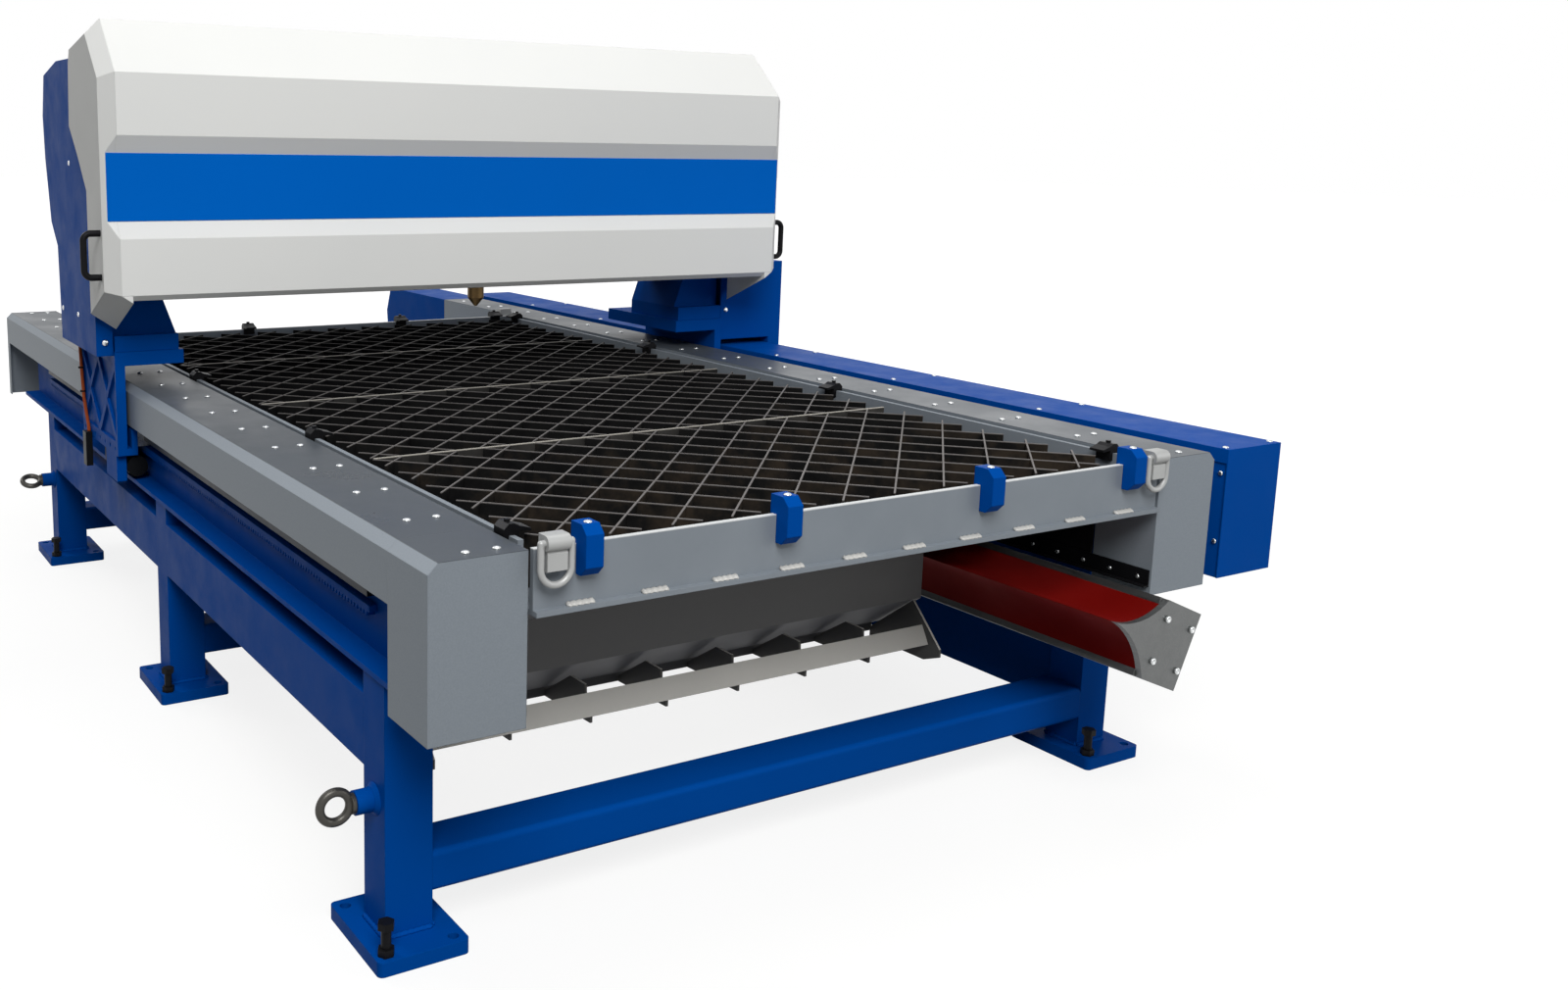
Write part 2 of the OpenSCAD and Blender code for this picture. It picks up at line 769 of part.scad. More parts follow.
module foot_plates() {
    color(blue) for (s = [-1, 1], y = leg_ys)
        translate([s * leg_x, y, 0]) linear_extrude(foot_t) difference() {
            rounded(foot_w, foot_l, foot_r);
            for (i = [-1, 1], j = [-1, 1]) translate([i * hole_dx, j * hole_dy]) circle(d = foot_hole_d);
        }
}

// Each foot has its levelling screw in the front left hole, the rear right foot in the front right one
module at_level_holes() {
    for (s = [-1, 1], y = leg_ys)
        translate([s * leg_x + (s > 0 && y > 0 ? hole_dx : -hole_dx), y - hole_dy, 0]) children();
}

module levelling_screws() {
    color(black) at_level_holes() {
        cylinder(d = level_d, h = foot_t + level_rise);
        translate([0, 0, foot_t + level_rise - level_hex_h])
            cylinder(d = level_hex_d, h = level_hex_h, $fn = 6);
    }
}

module lock_nuts() {
    color(black) at_level_holes() translate([0, 0, foot_t]) difference() {
        cylinder(d = level_hex_d, h = level_hex_h, $fn = 6);
        translate([0, 0, -over]) cylinder(d = level_d + 2 * pin_gap, h = level_hex_h + 2 * over);
    }
}

module cross_tubes() {
    color(blue) for (y = leg_ys) along_x(-leg_in, leg_in)
        translate([y - leg_side / 2 + cross_depth / 2, cross_z + cross_h / 2]) difference() {
            rounded(cross_depth, cross_h, cross_r);
            rounded(cross_depth - 2 * tube_wall, cross_h - 2 * tube_wall, cross_r - tube_wall);
        }
}

module lower_side_beams() {
    color(blue) for (i = [0, 1], s = [-1, 1]) let (h = s < 0 ? low_beam_h : right_beam_h)
        along_y(leg_ys[i] + leg_side / 2, leg_ys[i + 1] - leg_side / 2)
            translate([s * (leg_out - low_beam_w / 2), low_beam_z + low_beam_h - h / 2])
                tube_outline(low_beam_w, h, tube_wall);
}

module upper_side_beams() {
    color(blue) both_sides() along_y(beam_front, beam_rear) translate([leg_x, leg_top_z]) {
        translate([-flange_w / 2, 0]) square([flange_w, flange_t]);
        translate([-flange_w / 2, beam_h - flange_t]) square([flange_w, flange_t]);
        translate([-web_t / 2, 0]) square([web_t, beam_h]);
    }
}

// Eye bolts stand out of the welded bosses; the rear ones are turned nearly flat
module eye_bolts() {
    ring_r = (eye_d - eye_bar_d) / 2;
    color(black) for (s = [-1, 1], e = [[-leg_pitch, 0], [leg_pitch, 65]])
        translate([s * (leg_out + boss_len), e[0], eye_z]) rotate([0, s * 90, 0]) rotate([0, 0, e[1]]) {
            translate([0, 0, -boss_len]) cylinder(d = eye_bar_d, h = boss_len + eye_collar_len);
            cylinder(d = eye_collar_d, h = eye_collar_len);
            translate([0, 0, eye_collar_len + ring_r]) rotate([90, 0, 0])
                rotate_extrude() translate([ring_r, 0]) circle(d = eye_bar_d);
        }
}

// Side supports

// Angle plates stand on the beam flanges and carry the grate
module support_ledges() {
    color(blue) both_sides() along_y(ledge_y0, beam_rear) folded([
        [beam_in + support_t, leg_top_z + flange_t], [beam_in + support_t, support_z],
        [ledge_in, support_z]], support_t);
}

module guide_rails() {
    color(steel) both_sides()
        box([web_out, rack_y0, rail_z - rail_w / 2], [web_out + rail_t, rack_y1, rail_z + rail_w / 2]);
}

module racks() {
    color(dark_steel) both_sides() along_x(web_out, web_out + rack_w)
        rack_outline(rack_y0, rack_y1, pinion_y, rack_pitch_z, rack_module, rack_body);
}

// Guards

function guard_line(z) = [[guard_in, z], [guard_in, guard_top], [guard_out - guard_bevel, guard_top],
    [guard_out, guard_top - guard_bevel], [guard_out, z]];

// Section of the guard sheet with its thickness inwards
module guard_section(z) {
    folded(backwards(guard_line(z)), guard_t);
}

module guards() {
    color(grey_paint) {
        along_y(grate_y0 + end_box_len, right_rear_reach) guard_section(strip_z);
        mirror([1, 0, 0]) along_y(grate_y0 + end_box_len, rear_reach - end_cap_len) guard_section(strip_z);
    }
}

// Flat bars on the beams that the guards are riveted to
module spacer_section() {
    translate([spacer_x, (beam_top + guard_top - guard_t) / 2])
        tube_outline(spacer_w, guard_top - guard_t - beam_top, guard_t);
}

module guard_spacers() {
    color(dark_steel) {
        along_y(beam_front, right_rear_reach + junction_len / 2) spacer_section();
        mirror([1, 0, 0]) along_y(beam_front, rear_reach - end_cap_len) spacer_section();
    }
}

// Closed front boxes and the rear cap of the left guard, open below and towards the table
module end_box(y0, y1, wall_y) {
    along_y(y0, y1) guard_section(end_box_z);
    along_y(wall_y, wall_y + guard_t) polygon(guard_line(end_box_z));
}

module guard_end_boxes() {
    color(grey_paint) {
        both_sides() end_box(grate_y0, grate_y0 + end_box_len, grate_y0);
        mirror([1, 0, 0]) end_box(rear_reach - end_cap_len, rear_reach, rear_reach - guard_t);
    }
}

// Cable channel

module channel_tray() {
    color(blue) {
        along_y(grate_y0, rear_reach) folded([
            [channel_in + channel_t, guard_top - lid_flange - arm_slot], [channel_in + channel_t, channel_z],
            [channel_out - channel_t, channel_z], [channel_out - channel_t, guard_top - channel_t]],
            channel_t);
        along_y(grate_y0, grate_y0 + channel_t) translate([channel_in + channel_t, channel_z])
            square([channel_w - 2 * channel_t, channel_h - channel_t]);
    }
}

module channel_lid() {
    color(blue) {
        along_y(grate_y0 - channel_t, rear_reach) folded([
            [channel_out, guard_top - lid_flange], [channel_out, guard_top], [channel_in, guard_top],
            [channel_in, guard_top - lid_flange]], channel_t);
        along_y(grate_y0 - channel_t, grate_y0) translate([channel_in, channel_z])
            square([channel_w, channel_h - channel_t]);
    }
}

// Arms from the right legs under the channel
module channel_brackets() {
    reach = channel_out - channel_w / 4;
    foot = channel_z - channel_w / 2;
    color(blue) for (y = leg_ys) along_y(y - leg_side / 4, y + leg_side / 4) polygon([
        [leg_out, channel_z], [reach, channel_z], [reach, channel_z - support_t], [leg_out + support_t, foot],
        [leg_out, foot]]);
}

// Rear box behind the right guard, open to the guard
module junction_box() {
    y0 = right_rear_reach + guard_t;
    y1 = y0 + junction_len;
    slant = junction_h / 6;
    junction_z = guard_top - junction_h;
    line = [[y0, junction_z], [y1 - slant / 2, junction_z], [y1, guard_top - 2.5 * slant],
        [y1 - slant, guard_top], [y0, guard_top]];
    color(blue) difference() {
        along_x(guard_in, guard_out) polygon(line);
        along_x(guard_in + guard_t, guard_out - guard_t) polygon(
            [for (p = inset(line, guard_t)) p[0] < y0 + over ? [y0 - over, p[1]] : p]);
    }
}

// Grate

// Section of the front plate, standing on its flange
module plate_section() {
    translate([0, flange_top]) square([plate_t, guard_top - flange_top]);
    translate([-flange_lip, flange_z]) square([flange_lip + plate_t + flange_in, ledge_t]);
}

module front_plate() {
    color(grey_paint) along_x(-plate_half, plate_half) translate([grate_y0, 0]) plate_section();
}

module rear_plate() {
    color(grey_paint) along_x(-plate_half, plate_half)
        translate([grate_y1, 0]) mirror([1, 0]) plate_section();
}

module side_bars() {
    y0 = grate_y0 + plate_t + flange_in;
    y1 = grate_y1 - plate_t - flange_in;
    color(steel) both_sides() along_y(y0, y1) {
        translate([bar_out - plate_t, flange_top]) square([plate_t, guard_top - bar_drop - flange_top]);
        translate([bar_flange_in, flange_z]) square([plate_half - bar_flange_in, ledge_t]);
    }
}

module section_bars_set() {
    color(steel) for (y = section_ys) along_x(-bar_flange_in, bar_flange_in) translate([y, 0]) {
        translate([-section_t / 2, flange_top]) square([section_t, slat_h]);
        translate([-flange_in / 2, flange_z]) square([flange_in, ledge_t]);
    }
}

// One slat on edge with half-depth slots, open upwards or downwards
module slat(length, slots, up) {
    g = (slat_t + slot_gap) / 2;
    mid = slat_h / 2;
    notch = up ? [mid - slot_gap, slat_h] : [0, mid + slot_gap];
    line = up
        ? concat([[0, 0], [length, 0], [length, slat_h]],
            [for (s = backwards(slots))
                each [[s + g, slat_h], [s + g, notch[0]], [s - g, notch[0]], [s - g, slat_h]]],
            [[0, slat_h]])
        : concat([[0, slat_h], [0, 0]],
            [for (s = slots) each [[s - g, 0], [s - g, notch[1]], [s + g, notch[1]], [s + g, 0]]],
            [[length, 0], [length, slat_h]]);
    rotate([90, 0, 0]) linear_extrude(slat_t, center = true) polygon(line);
}

// Diamond grid between two section bars: crossings sit on a lattice of half steps
module slat_grid(y0, y1) {
    nx = round(2 * slat_half / slat_half_step);
    ny = round((y1 - y0) / slat_half_step);
    hx = 2 * slat_half / nx;
    hy = (y1 - y0) / ny;
    step = norm([hx, hy]);
    lean = atan2(hy, hx);
    // Rising slats keep i - j, falling slats keep i + j
    for (k = [1 - ny : nx - 1]) if (k % 2 == 0) {
        a = max(-0.5, k - 0.5);
        b = min(nx - 0.5, ny - 0.5 + k);
        slots = [for (i = [ceil(a) : floor(b)]) (i - a) * step];
        translate([(a + 0.5) * hx - slat_half, y0 + (a - k + 0.5) * hy, flange_top]) rotate([0, 0, lean])
            slat((b - a) * step, slots, true);
    }
    for (m = [0 : nx + ny - 2]) if (m % 2 == 0) {
        a = max(-0.5, m - ny + 0.5);
        b = min(nx - 0.5, m + 0.5);
        slots = [for (i = [ceil(a) : floor(b)]) (i - a) * step];
        translate([(a + 0.5) * hx - slat_half, y0 + (m - a + 0.5) * hy, flange_top]) rotate([0, 0, -lean])
            slat((b - a) * step, slots, false);
    }
}

slat_off = section_t / 2 + slat_t;
slat_ends = concat([slat_y0], [for (y = section_ys) each [y - slat_off, y + slat_off]], [slat_y1]);

module slat_section(i) {
    color(dark_steel) slat_grid(slat_ends[2 * i], slat_ends[2 * i + 1]);
}

module slats_1() {
    slat_section(0);
}

module slats_2() {
    slat_section(1);
}

module slats_3() {
    slat_section(2);
}

module slats_4() {
    slat_section(3);
}

// Edge fittings

// Block hooks over the front plate, bevelled at the upper and lower front edges
module edge_hooks() {
    f = grate_y0 - seat;
    b = grate_y0 + plate_t + seat;
    top = guard_top + hook_rise;
    bevel = hook_t / 2;
    low = guard_top - hook_drop;
    lip_z = guard_top - hook_drop / 2;
    color(blue) for (x = [-hook_out_x, -hook_in_x, hook_in_x, hook_out_x])
        along_x(x - hook_w / 2, x + hook_w / 2) polygon([[f, guard_top + seat], [f, low],
            [f - hook_t + bevel, low], [f - hook_t, low + bevel], [f - hook_t, top - bevel],
            [f - hook_t + bevel, top], [b + hook_lip, top], [b + hook_lip, lip_z], [b, lip_z],
            [b, guard_top + seat]]);
}

// Clamp that straddles a bar along Y, its finger towards +X
module sheet_clamp(bar_t) {
    leg_t = bar_t * 0.8;
    out = bar_t / 2 + seat;
    tip = bar_t / 2 + clamp_reach;
    along_y(-clamp_len / 2, clamp_len / 2) polygon([[-out - leg_t, -clamp_rise], [-out, -clamp_rise],
        [-out, 0], [out, 0], [out, -clamp_rise * 0.8], [out + leg_t, -clamp_rise * 0.8],
        [out + leg_t, clamp_rise * 0.3], [tip, clamp_rise * 0.2], [tip, clamp_rise * 0.45], [out + leg_t, clamp_rise * 0.75],
        [bar_t / 2, clamp_rise], [-bar_t / 2, clamp_rise], [-out - leg_t, clamp_rise * 0.55]]);
    translate([0, 0, clamp_rise]) cylinder(d = bar_t, h = clamp_rise * 0.25);
}

module sheet_clamps() {
    color(black) {
        for (i = [0 : 3]) both_sides()
            translate([bar_out - plate_t / 2, grate_y0 + clamp_first + i * clamp_pitch, guard_top - bar_drop])
                rotate([0, 0, 180]) sheet_clamp(plate_t);
        for (x = [-clamp_out_x, -clamp_in_x, clamp_in_x, clamp_out_x])
            translate([x, grate_y1 - plate_t / 2, guard_top]) rotate([0, 0, -90]) sheet_clamp(plate_t);
    }
}

// Lifting rings, shown at the front; the rear ones are their mirror image
module at_rings() {
    for (s = [-1, 1]) {
        translate([s * ring_x, grate_y0, guard_top]) children();
        translate([s * ring_x, grate_y1, guard_top]) mirror([0, 1, 0]) children();
    }
}

module ring_brackets() {
    lug_w = ring_w - ring_bar_d - 2 * ring_gap;
    lug_d = ring_bar_d + 2 * ring_lug_wall;
    block_half = lug_w * 0.44;
    chin = ring_block_h * 0.2;
    color(grey_paint) at_rings() difference() {
        union() {
            rod_x(-lug_w / 2, lug_w / 2, -ring_reach, ring_rise, lug_d);
            box([-lug_w / 2, -ring_reach, ring_rise - lug_d / 2], [lug_w / 2, 0, ring_rise + lug_d / 2]);
            along_x(-block_half, block_half) polygon([[0, -ring_block_h],
                [-ring_block_t, chin - ring_block_h], [-ring_block_t, -chin / 2],
                [chin / 2 - ring_block_t, 0], [chin / 2 - ring_block_t, ring_rise], [0, ring_rise]]);
        }
        rod_x(-lug_w, lug_w, -ring_reach, ring_rise, ring_bar_d + 2 * pin_gap);
    }
}

// D-shaped ring about its pivot, hanging down
module lifting_ring() {
    half = ring_w / 2;
    color(steel) translate([0, -ring_reach, ring_rise]) {
        rod_x(-half, half, 0, 0, ring_bar_d);
        for (s = [-1, 1]) translate([s * half, 0, 0]) {
            sphere(d = ring_bar_d);
            translate([0, 0, -ring_len]) cylinder(d = ring_bar_d, h = ring_len);
        }
        translate([0, 0, -ring_len]) rotate([-90, 0, 0]) rotate_extrude(angle = 180)
            translate([half, 0]) circle(d = ring_bar_d);
    }
}

module ring_front_left() {
    translate([-ring_x, grate_y0, guard_top]) lifting_ring();
}

module ring_front_right() {
    translate([ring_x, grate_y0, guard_top]) lifting_ring();
}

module ring_rear_left() {
    translate([-ring_x, grate_y1, guard_top]) mirror([0, 1, 0]) lifting_ring();
}

module ring_rear_right() {
    translate([ring_x, grate_y1, guard_top]) mirror([0, 1, 0]) lifting_ring();
}

// Slag hopper and suction

module hopper() {
    top = support_z - support_t - hopper_t;
    lip_y0 = grate_y0 + plate_t + flange_in;
    lip_y1 = grate_y1 - plate_t - flange_in;
    chute_top = ledge_in - ledge_t;
    color(dark_steel) {
        along_x(-hopper_left + seat, hopper_right - seat) {
            folded([[hopper_y0 + throat_back, hopper_z - throat_fall], [hopper_y0, hopper_z],
                [hopper_y0, chute_z], [lip_y0, top]], hopper_t);
            folded([[lip_y1, top], [hopper_y1, chute_z], [hopper_y1, hopper_z]], hopper_t);
        }
        along_x(-hopper_left - hopper_t, -hopper_left) polygon([[hopper_y0, hopper_z], [hopper_y1, hopper_z],
            [hopper_y1, chute_z], [lip_y1, top], [lip_y0, top], [hopper_y0, chute_z]]);
        along_y(hopper_y0, hopper_y1) folded([[chute_top, top],
            [hopper_right + hopper_t, chute_z], [hopper_right + hopper_t, hopper_z]], -hopper_t);
    }
}

module section_partitions() {
    color(dark_steel) for (y = section_ys)
        box([-hopper_left + seat, y - hopper_t / 2, hopper_z],
            [hopper_right - seat, y + hopper_t / 2, support_z - support_t - seat]);
}

// Ladder under the throat: a leaning front bar, a back bar behind the throat edge, fins and end plates
module ladder_frame() {
    x0 = -hopper_left - ladder_left;
    x1 = hopper_right - ladder_right;
    edge = [hopper_y0 + throat_back + seat, hopper_z - throat_fall];
    down = [-sin(ladder_lean), -cos(ladder_lean)];
    back = [cos(ladder_lean), -sin(ladder_lean)] * ladder_t;
    p = [hopper_y0 - ladder_front, hopper_z - ladder_drop];
    q = p + ladder_bar_h * down;
    foot = ladder_bar_h / 2;
    tip = ladder_bar_h * 0.27;
    fin_top = p[1] + ladder_bar_h / 3;
    plate_z = edge[1] - ladder_low;
    nose = p + 1.5 * ladder_bar_h * down;
    color(grey_paint) {
        along_x(x0 + ladder_t, x1 - ladder_t) polygon([p, q, q + back, p + back]);
        along_x(x0 + ladder_t, x1 - ladder_t) translate(edge - [0, foot])
            square([ladder_t, ladder_bar_h]);
        for (i = [1 : ladder_fins]) let (x = x0 + (x1 - x0) * i / (ladder_fins + 1))
            along_x(x, x + ladder_t) polygon([edge - [0, foot], edge - [0, foot / 2],
                [hopper_y0 + throat_back / 5, fin_top], [p[0] + ladder_t, fin_top], p + back, q + back,
                q + back - [0, tip]]);
        for (x = [x0, x1 - ladder_t]) along_x(x, x + ladder_t)
            polygon([edge + [ladder_t, -foot], edge - [0, foot / 2],
                [hopper_y0 - hopper_t - seat, hopper_z - hopper_t],
                nose + [-foot, foot * 0.8], nose + [-foot, 0],
                [nose[0] + foot, plate_z], [edge[0] + ladder_t, plate_z]]);
    }
}

// Children drawn in the tilted frame of the suction rail, then extruded along the table
module in_duct(y0, y1) {
    along_y(y0, y1) translate([duct_x, duct_z]) rotate(-duct_tilt) children();
}

function duct_point(u, w) = [duct_x + u * cos(duct_tilt) + w * sin(duct_tilt),
    duct_z - u * sin(duct_tilt) + w * cos(duct_tilt)];

// Centre of the hollow lip face, from the profile corner to the lip ridge
lip_a = [-duct_w / 2, duct_h / 2 - rail_lip];
lip_b = [-duct_w / 2 - lip_reach, 0];
lip_n = left_of(lip_b, lip_a);
lip_c = (lip_a + lip_b) / 2 + lip_n * (lip_r - lip_sag);

module suction_rail() {
    color(steel) {
        in_duct(duct_y0 + duct_end_t, duct_rear - duct_end_t) difference() {
            square([duct_w, duct_h], center = true);
            square([duct_w - 2 * duct_t, duct_h - 2 * duct_t], center = true);
            translate([-duct_w / 2, 0]) square([duct_w, duct_h - 2 * rail_lip], center = true);
        }
        for (y = leg_ys) along_y(y - leg_side / 4, y + leg_side / 4) let (
            root = duct_w / 2 - duct_t / 2, p = duct_point(root, duct_h / 5), q = duct_point(root, -duct_h / 5))
            polygon([p, [leg_in, p[1]], [leg_in, q[1]], q]);
    }
}

// Two hollow rubber lips that meet along the ridge
module suction_lips() {
    color(rubber_red) for (m = [0, 1]) in_duct(duct_y0 + duct_end_t, duct_rear - duct_end_t)
        mirror([0, m]) intersection() {
            translate(lip_c) difference() {
                circle(lip_r + lip_t, $fn = 192);
                circle(lip_r, $fn = 192);
            }
            polygon([lip_a, lip_b + [0, seat], [lip_a[0], seat]]);
        }
}

// End plates with the same hollow sides as the lips
module suction_end_plates() {
    color(steel) for (y = [duct_y0, duct_rear - duct_end_t]) in_duct(y, y + duct_end_t) difference() {
        union() {
            square([duct_w, duct_h], center = true);
            polygon([lip_a, lip_b, [lip_a[0], -lip_a[1]], [0, 0]]);
        }
        for (m = [0, 1]) mirror([0, m]) translate(lip_c) circle(lip_r, $fn = 192);
    }
}

// Black sheets under the inner edges of the guards
module side_skirts() {
    color(black) both_sides() box([guard_in, grate_y0 + end_box_len + over, end_box_z + 8 * guard_t],
        [guard_in + guard_t, grate_y1 - hook_drop, support_z - support_t]);
}

// Gantry

// Section of one carriage: top plate over the guard, side plate, and arm below the side strip
module carriage_section() {
    polygon([[car_o, car_z], [car_o, car_deck], [car_in, car_deck], [car_in, car_top_z], [car_i, car_top_z],
        [car_i, car_z + car_arm_t], [upstand_in + upstand_t, car_z + car_arm_t],
        [upstand_in + upstand_t, upstand_top], [upstand_in, upstand_top], [upstand_in, car_z]]);
}

// Pockets that leave two tall crosses of ribs on the outer face
module lattice_pockets() {
    cells = 2;
    z0 = car_z + 2 * car_arm_t;
    z1 = cover_z - pocket_rib * 2;
    zm = (z0 + z1) / 2;
    cw = (car_len - 2 * pocket_rib) / cells;
    r = pocket_rib / 2;
    y0 = car_front + pocket_rib;
    y1 = y0 + cells * cw;
    translate([car_o - pocket_d, 0, 0]) rotate([90, 0, 90]) linear_extrude(pocket_d + over) {
        for (i = [0 : cells - 1]) let (ya = y0 + i * cw, yb = ya + cw, ym = (ya + yb) / 2) {
            polygon([[ya + 2 * r, z0], [yb - 2 * r, z0], [ym, zm - 3 * r]]);
            polygon([[ya + 2 * r, z1], [ym, zm + 3 * r], [yb - 2 * r, z1]]);
        }
        for (i = [1 : cells - 1]) let (y = y0 + i * cw)
            polygon([[y - cw / 2 + r, zm], [y, z0 + 3 * r], [y + cw / 2 - r, zm], [y, z1 - 3 * r]]);
        polygon([[y0, z0 + 3 * r], [y0 + cw / 2 - r, zm], [y0, z1 - 3 * r]]);
        polygon([[y1, z0 + 3 * r], [y1, z1 - 3 * r], [y1 - cw / 2 + r, zm]]);
    }
}

// Carriage with its lattice, a row of bolt holes and the plate in front of the drive
module carriage() {
    holes = 7;
    hole_d = car_arm_t * 0.6;
    difference() {
        union() {
            along_y(car_front, car_rear) carriage_section();
            box([car_i, car_front + car_arm_t, leg_top_z + flange_t],
                [car_o, car_front + car_len / 3, car_z]);
        }
        lattice_pockets();
        for (i = [0 : holes - 1])
            rod_x(car_o - pocket_d, car_o + over, car_front + car_len * (i + 0.5) / holes,
                car_z + car_arm_t * 0.9, hole_d);
    }
}

module carriages() {
    arm_z = guard_top - lid_flange - arm_slot / 2;
    color(blue) {
        both_sides() carriage();
        box([car_o, pinion_y, arm_z - arm_slot / 4],
            [channel_in + channel_w / 2, pinion_y + car_len / 4, arm_z + arm_slot / 4]);
    }
}

// Bearing blocks ride on the guide rails and bolt to the carriage upstand
module bearing_blocks() {
    color(steel) both_sides() for (y = [car_front + block_len / 4, car_rear - block_len * 1.25]) difference() {
        box([web_out + rail_t / 4, y, block_low + run_gap], [upstand_in, y + block_len, upstand_top]);
        box([web_out, y - over, rail_z - rail_w / 2 - run_gap],
            [web_out + rail_t + run_gap, y + block_len + over, rail_z + rail_w / 2 + run_gap]);
    }
}

// Pedestals lift the gantry beam off the carriages, hollow from behind
module pedestals() {
    y0 = bridge_y0 - bridge_setback / 2;
    y1 = bridge_y1 + bridge_setback / 2;
    foot_in = car_in + ped_wall;
    foot_out = car_o - ped_wall / 4;
    line = [[foot_out, car_deck], [foot_out, bridge_z], [car_in + ped_lean, bridge_z],
        [foot_in, car_deck + block_h], [foot_in, car_deck]];
    color(blue) both_sides() difference() {
        union() {
            along_y(y0, y1) polygon(line);
            box([foot_in, car_front + ped_wall / 2, car_deck], [foot_out, y0 + ped_wall, car_deck + block_h]);
        }
        along_y(y0 + ped_wall, y1 + over) polygon(inset(line, ped_wall));
    }
}

// Drive motors lie along the table and carry an angle gearbox
module gear_motors() {
    x = car_i - motor_d / 2 - 4 * run_gap;
    gear_y0 = pinion_y - pitch_r - rack_module * 2;
    gear_y1 = pinion_y + pitch_r + rack_module * 2;
    gear_x0 = web_out + rack_w + rack_module * 0.8;
    color(black) both_sides() {
        rod_y(x, gear_y0 - motor_len, gear_y0, pinion_z, motor_d);
        difference() {
            box([gear_x0, gear_y0, pinion_z - motor_d / 2], [car_i - run_gap, gear_y1, car_z]);
            rod_x(gear_x0 - over, car_i - shaft_d, pinion_y, pinion_z, shaft_d + 2 * pin_gap);
        }
    }
}

// Pinion and shaft on the right-hand side
module drive_pinion() {
    x0 = web_out + 2 * run_gap;
    x1 = web_out + rack_w;
    color(steel) {
        translate([x0, pinion_y, pinion_z]) rotate([90, 0, 90]) linear_extrude(x1 - x0)
            spur(rack_module, pinion_teeth, tooth_slack_share * rack_module);
        rod_x(x1, car_i - 1.2 * shaft_d, pinion_y, pinion_z, shaft_d);
    }
}

module pinion_right() {
    drive_pinion();
}

module pinion_left() {
    mirror([1, 0, 0]) drive_pinion();
}

module gantry_beam() {
    color(blue) along_x(-bridge_half, bridge_half)
        translate([bridge_y0 + bridge_d / 2, bridge_z + bridge_h / 2])
            tube_outline(bridge_d, bridge_h, bridge_t);
}

// Side cover outline: the shoulder behind the beam is wider than the foot
cover_shares = [[0, 0], [0.734, 0], [0.763, 0.339], [0.891, 0.423], [0.979, 0.656], [1, 0.812], [0.939, 0.958],
    [0.634, 1], [0.153, 1], [0, 0.86]];
cover_line = [for (s = cover_shares) [cover_front + s[0] * cover_deep, cover_z + s[1] * cover_rise]];

module side_cover() {
    along_x(cover_o - cover_t, cover_o) polygon(cover_line);
    along_x(cover_i, cover_o) difference() {
        polygon(cover_line);
        polygon(inset(cover_line, cover_t));
    }
    rod_x(cover_o, hood_out - ear_gap, pivot_y, pivot_z, pivot_d);
}

// Cover over the cable channel on the right, open to the rear
module chain_cover() {
    x0 = cover_o + run_gap;
    x1 = channel_out + chain_clear;
    x2 = x1 + chain_leg;
    low = guard_top + 3 * chain_clear;
    foot = guard_top - 2 * lid_flange;
    y1 = bridge_y1 + 3 * chain_clear;
    line = [[x0, low], [x1, low], [x1, foot], [x2, foot], [x2, chain_top], [x0, chain_top]];
    difference() {
        along_y(cover_front - seat - cover_t, y1) polygon(line);
        along_y(cover_front - seat, y1 + over) polygon(inset(line, cover_t));
    }
    box([cover_i, cover_front - seat - cover_t, low], [x0, cover_front - seat, chain_top]);
}

module side_covers() {
    color(blue) {
        both_sides() side_cover();
        chain_cover();
    }
}

// Limit switch on the left carriage with its cable tied to the side plate
switch_y = car_front + car_len * 0.78;
switch_top = car_z + car_arm_t * 0.75;

module limit_switch() {
    depth = car_arm_t;
    color(black) box([-car_o - depth, switch_y - depth, leg_top_z], [-car_o, switch_y + depth, switch_top]);
}

module limit_cable() {
    x = -car_o - cable_d / 2 - seat;
    drop = cover_z - switch_top;
    route_shares = [[0.19, 1], [0.185, 0.92], [0.17, 0.75], [0.15, 0.55], [0.12, 0.35], [0.06, 0.18],
        [0.01, 0.07], [0, 0]];
    color([0.62, 0.25, 0.12]) swept([for (s = route_shares)
        [x, switch_y + s[0] * car_len, switch_top + seat + s[1] * (drop - 2 * seat)]], cable_d, 10);
}

// Cutting head

module cross_rails() {
    half = bridge_half - cross_rail_inset;
    color(steel) for (z = [rail_low_z, rail_high_z])
        box([-half, bridge_y0 - cross_rail_t, z - cross_rail_w / 2], [half, bridge_y0, z + cross_rail_w / 2]);
}

// The cross rack stands teeth up below the pinion
module cross_rack() {
    half = bridge_half - cross_inset;
    level = cross_pitch_r - cross_axis_z;
    color(dark_steel) translate([0, bridge_y0, 0]) rotate([90, 0, 0]) linear_extrude(cross_rail_t)
        mirror([0, 1]) rack_outline(-half, half, cross_pinion_x, level, cross_module, cross_rail_w / 2);
}

